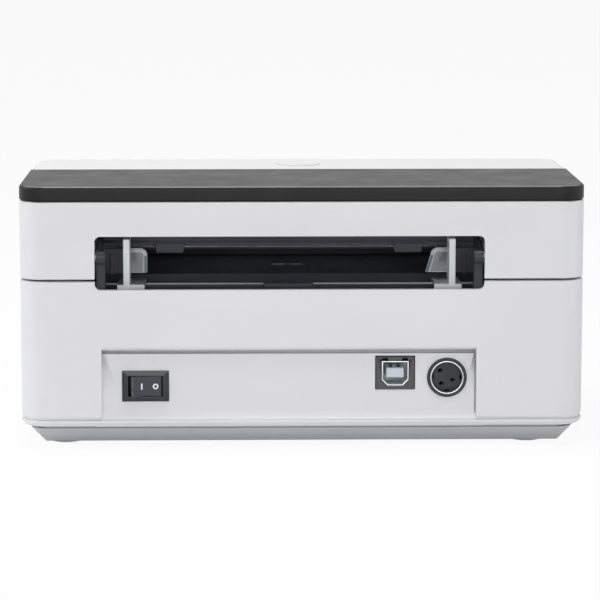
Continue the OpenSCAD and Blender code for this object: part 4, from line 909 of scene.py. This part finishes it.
# %% Tongue and contacts
soften("usb_insert", "usb_tongue_block", 0.3, shortest_mm=2)
low, high, centre = node_box("usb_insert")
strip_half = Vector((0.5, 4, 0.15)) * MM
contacts = []
for height in (low.z, high.z):
    for from_middle in (-1.25, 1.25):
        place = Vector((centre.x + from_middle * MM, high.y - 5.2 * MM, height))
        strip = add_box(place - strip_half, place + strip_half)
        round_edges(strip, 0.1)
        apply_modifiers(strip)
        contacts.append(strip)
# Painted shade: the brass contacts get the black finish, for the shade of the mouth.
finish_piece(join(contacts), "usb_contacts", "brass", "base", finish="black_plastic")

# %% [markdown]
# ## The round power socket
# Its metal sleeve is thin, and only the front edge of it shines. A black lining hides the sleeve's inner
# wall, and the face with the three pin holes sits a little way in. Both are tubes: a circle is drawn out
# along the axis and given its wall by Solidify.


# %% Tubes along Y
def tube(centre, y0, y1, radius_mm, wall_mm):
    """A closed tube along Y, with its wall inside the radius."""
    start_clean()
    bpy.ops.mesh.primitive_circle_add(vertices=72, radius=radius_mm * MM, rotation=(pi / 2, 0, 0),
                                      location=(centre.x, y0, centre.z))
    obj = bpy.context.object
    bpy.ops.object.transform_apply(location=True, rotation=True)
    bpy.ops.object.mode_set(mode="EDIT")
    bpy.ops.mesh.select_all(action="SELECT")
    bpy.ops.mesh.extrude_region_move(TRANSFORM_OT_translate={"value": (0, y1 - y0, 0)})
    face_outwards()
    wall = obj.modifiers.new("wall", "SOLIDIFY")
    wall.thickness = wall_mm * MM
    wall.offset = -1
    round_edges(obj, 0.08)
    apply_modifiers(obj)
    return obj


# %% Power socket
soften("power_socket", "power_socket_body", 0.3)
low, high, centre = node_box("power_socket_ring")
SLEEVE_R, SLEEVE_WALL, BOTH_WALLS = (high.x - low.x) / 2 / MM, 0.34, 0.7
sleeve = tube(centre, low.y, high.y, SLEEVE_R, SLEEVE_WALL)
finish_piece(sleeve, "power_socket_sleeve", "steel", "base", stands_for=["power_socket_ring"],
             finish="bright_edge")
lining = tube(centre, low.y + 0.5 * MM, high.y - 0.25 * MM, SLEEVE_R - SLEEVE_WALL, BOTH_WALLS - SLEEVE_WALL)
finish_piece(lining, "power_socket_lining", "black_plastic", "base")
soften("power_socket_insert", "power_socket_face", 0.15)

# %% [markdown]
# ## Stage
# The floor is pale and the light is soft. What the camera sees of the floor and the world is close to white,
# and polished metal sees the same. Light Path tells the shader which kind of ray has arrived, so the printer
# is lit only by the lamps and a dim world, however white the background looks.


# %% Which rays look at the background
def looked_at(tree):
    """1 for rays from the camera and rays off glossy surfaces, and 0 for light that is gathered."""
    light_path = tree.nodes.new("ShaderNodeLightPath")
    seen = tree.nodes.new("ShaderNodeMath")
    seen.operation = "MAXIMUM"
    tree.links.new(light_path.outputs["Is Camera Ray"], seen.inputs[0])
    tree.links.new(light_path.outputs["Is Glossy Ray"], seen.inputs[1])
    return seen.outputs[0]


# %% A pale surface
def pale_surface(name, glow):
    """Diffuse for light that lands on it, near white for what looks at it."""
    mat = bpy.data.materials.new(name)
    mat.use_nodes = True
    tree = mat.node_tree
    shader = tree.nodes["Principled BSDF"]
    shader.inputs["Base Color"].default_value = (0.8, 0.8, 0.8, 1)
    shader.inputs["Roughness"].default_value = 0.9
    share = tree.nodes.new("ShaderNodeMath")
    share.operation = "MULTIPLY"
    share.inputs[1].default_value = glow
    tree.links.new(looked_at(tree), share.inputs[0])
    white = tree.nodes.new("ShaderNodeEmission")
    white.inputs["Color"].default_value = (1, 1, 1, 1)
    mix = tree.nodes.new("ShaderNodeMixShader")
    tree.links.new(share.outputs[0], mix.inputs["Fac"])
    tree.links.new(shader.outputs["BSDF"], mix.inputs[1])
    tree.links.new(white.outputs["Emission"], mix.inputs[2])
    tree.links.new(mix.outputs["Shader"], tree.nodes["Material Output"].inputs["Surface"])
    return mat


# %% Floor
start_clean()
bpy.ops.mesh.primitive_plane_add(size=8, location=(0, 0, 0))
floor = bpy.context.object
floor.name = "floor"
floor.data.materials.append(pale_surface("floor_white", 0.93))
print("floor is", round(floor.dimensions.x), "m wide")

# %% World
WORLD_LIGHT = 0.265
world = bpy.data.worlds.new("studio")
bpy.context.scene.world = world
world.use_nodes = True
sky = world.node_tree
level = sky.nodes.new("ShaderNodeMapRange")
level.inputs["To Min"].default_value = WORLD_LIGHT
level.inputs["To Max"].default_value = 1.0
sky.links.new(looked_at(sky), level.inputs["Value"])
sky.nodes["Background"].inputs["Color"].default_value = (1, 1, 1, 1)
sky.links.new(level.outputs["Result"], sky.nodes["Background"].inputs["Strength"])
print("world light:", WORLD_LIGHT)

# %% [markdown]
# ### Lamps
# A wide low lamp on the camera's side lights the rear face evenly. A long narrow lamp above it makes the top
# of that face a little brighter than its foot, and leaves short soft shadows under the edges. The lamp at the
# left is stronger than the one at the right, so that the two ends of the housing differ.


# %% Lamps
def softbox(name, place, target, size, watts):
    """A rectangular area lamp at a place, turned towards a target."""
    start_clean()
    bpy.ops.object.light_add(type="AREA", location=place)
    lamp = bpy.context.object
    lamp.name = name
    lamp.data.shape = "RECTANGLE"
    lamp.data.size, lamp.data.size_y = size
    lamp.data.energy = watts
    lamp.rotation_euler = (Vector(target) - Vector(place)).to_track_quat("-Z", "Y").to_euler()
    print(name, "watts:", watts)


PRINTER = (0, 0, 0.045)
softbox("top_softbox", (0.1, 0.08, 0.9), PRINTER, (1.0, 0.2), 5.0)
softbox("left_softbox", (1.0, 0.12, 0.55), PRINTER, (0.5, 0.5), 5.2)
softbox("right_softbox", (-0.9, 0.3, 0.3), PRINTER, (0.6, 0.6), 1.6)
softbox("front_fill", (0.05, 1.3, 0.18), PRINTER, (1.5, 0.5), 5.4)

# %% [markdown]
# ## Camera
# A long lens stands about 90 cm behind the printer and a little above it, turned by just over a degree. With
# the 36 mm sensor across a square frame, a focal length of 2806 pixels in 600 is a 168 mm lens.

# %% Camera
SENSOR = 36.0
FOCAL_PX, FRAME_PX = 2805.6, 600
YAW, PITCH = 0.020597, 0.147397
REAR_Y, BOX_TOP = cad_box[1][1], cad_box[1][2]
BESIDE, BEHIND, ABOVE = 18.95 * MM, 881.1 * MM, 94.4 * MM
camera_data = bpy.data.cameras.new("camera")
camera_data.sensor_width = SENSOR
camera_data.lens = FOCAL_PX * SENSOR / FRAME_PX
camera = bpy.data.objects.new("camera", camera_data)
bpy.context.scene.collection.objects.link(camera)
camera.location = (BESIDE, REAR_Y + BEHIND, BOX_TOP + ABOVE)
view = Vector((-sin(YAW) * cos(PITCH), -cos(YAW) * cos(PITCH), -sin(PITCH)))
camera.rotation_euler = view.to_track_quat("-Z", "Y").to_euler()
bpy.context.scene.camera = camera
bpy.context.scene.view_settings.view_transform = "Standard"
print("lens:", round(camera_data.lens, 1), "mm")

# %% Close
bpy.context.view_layer.update()
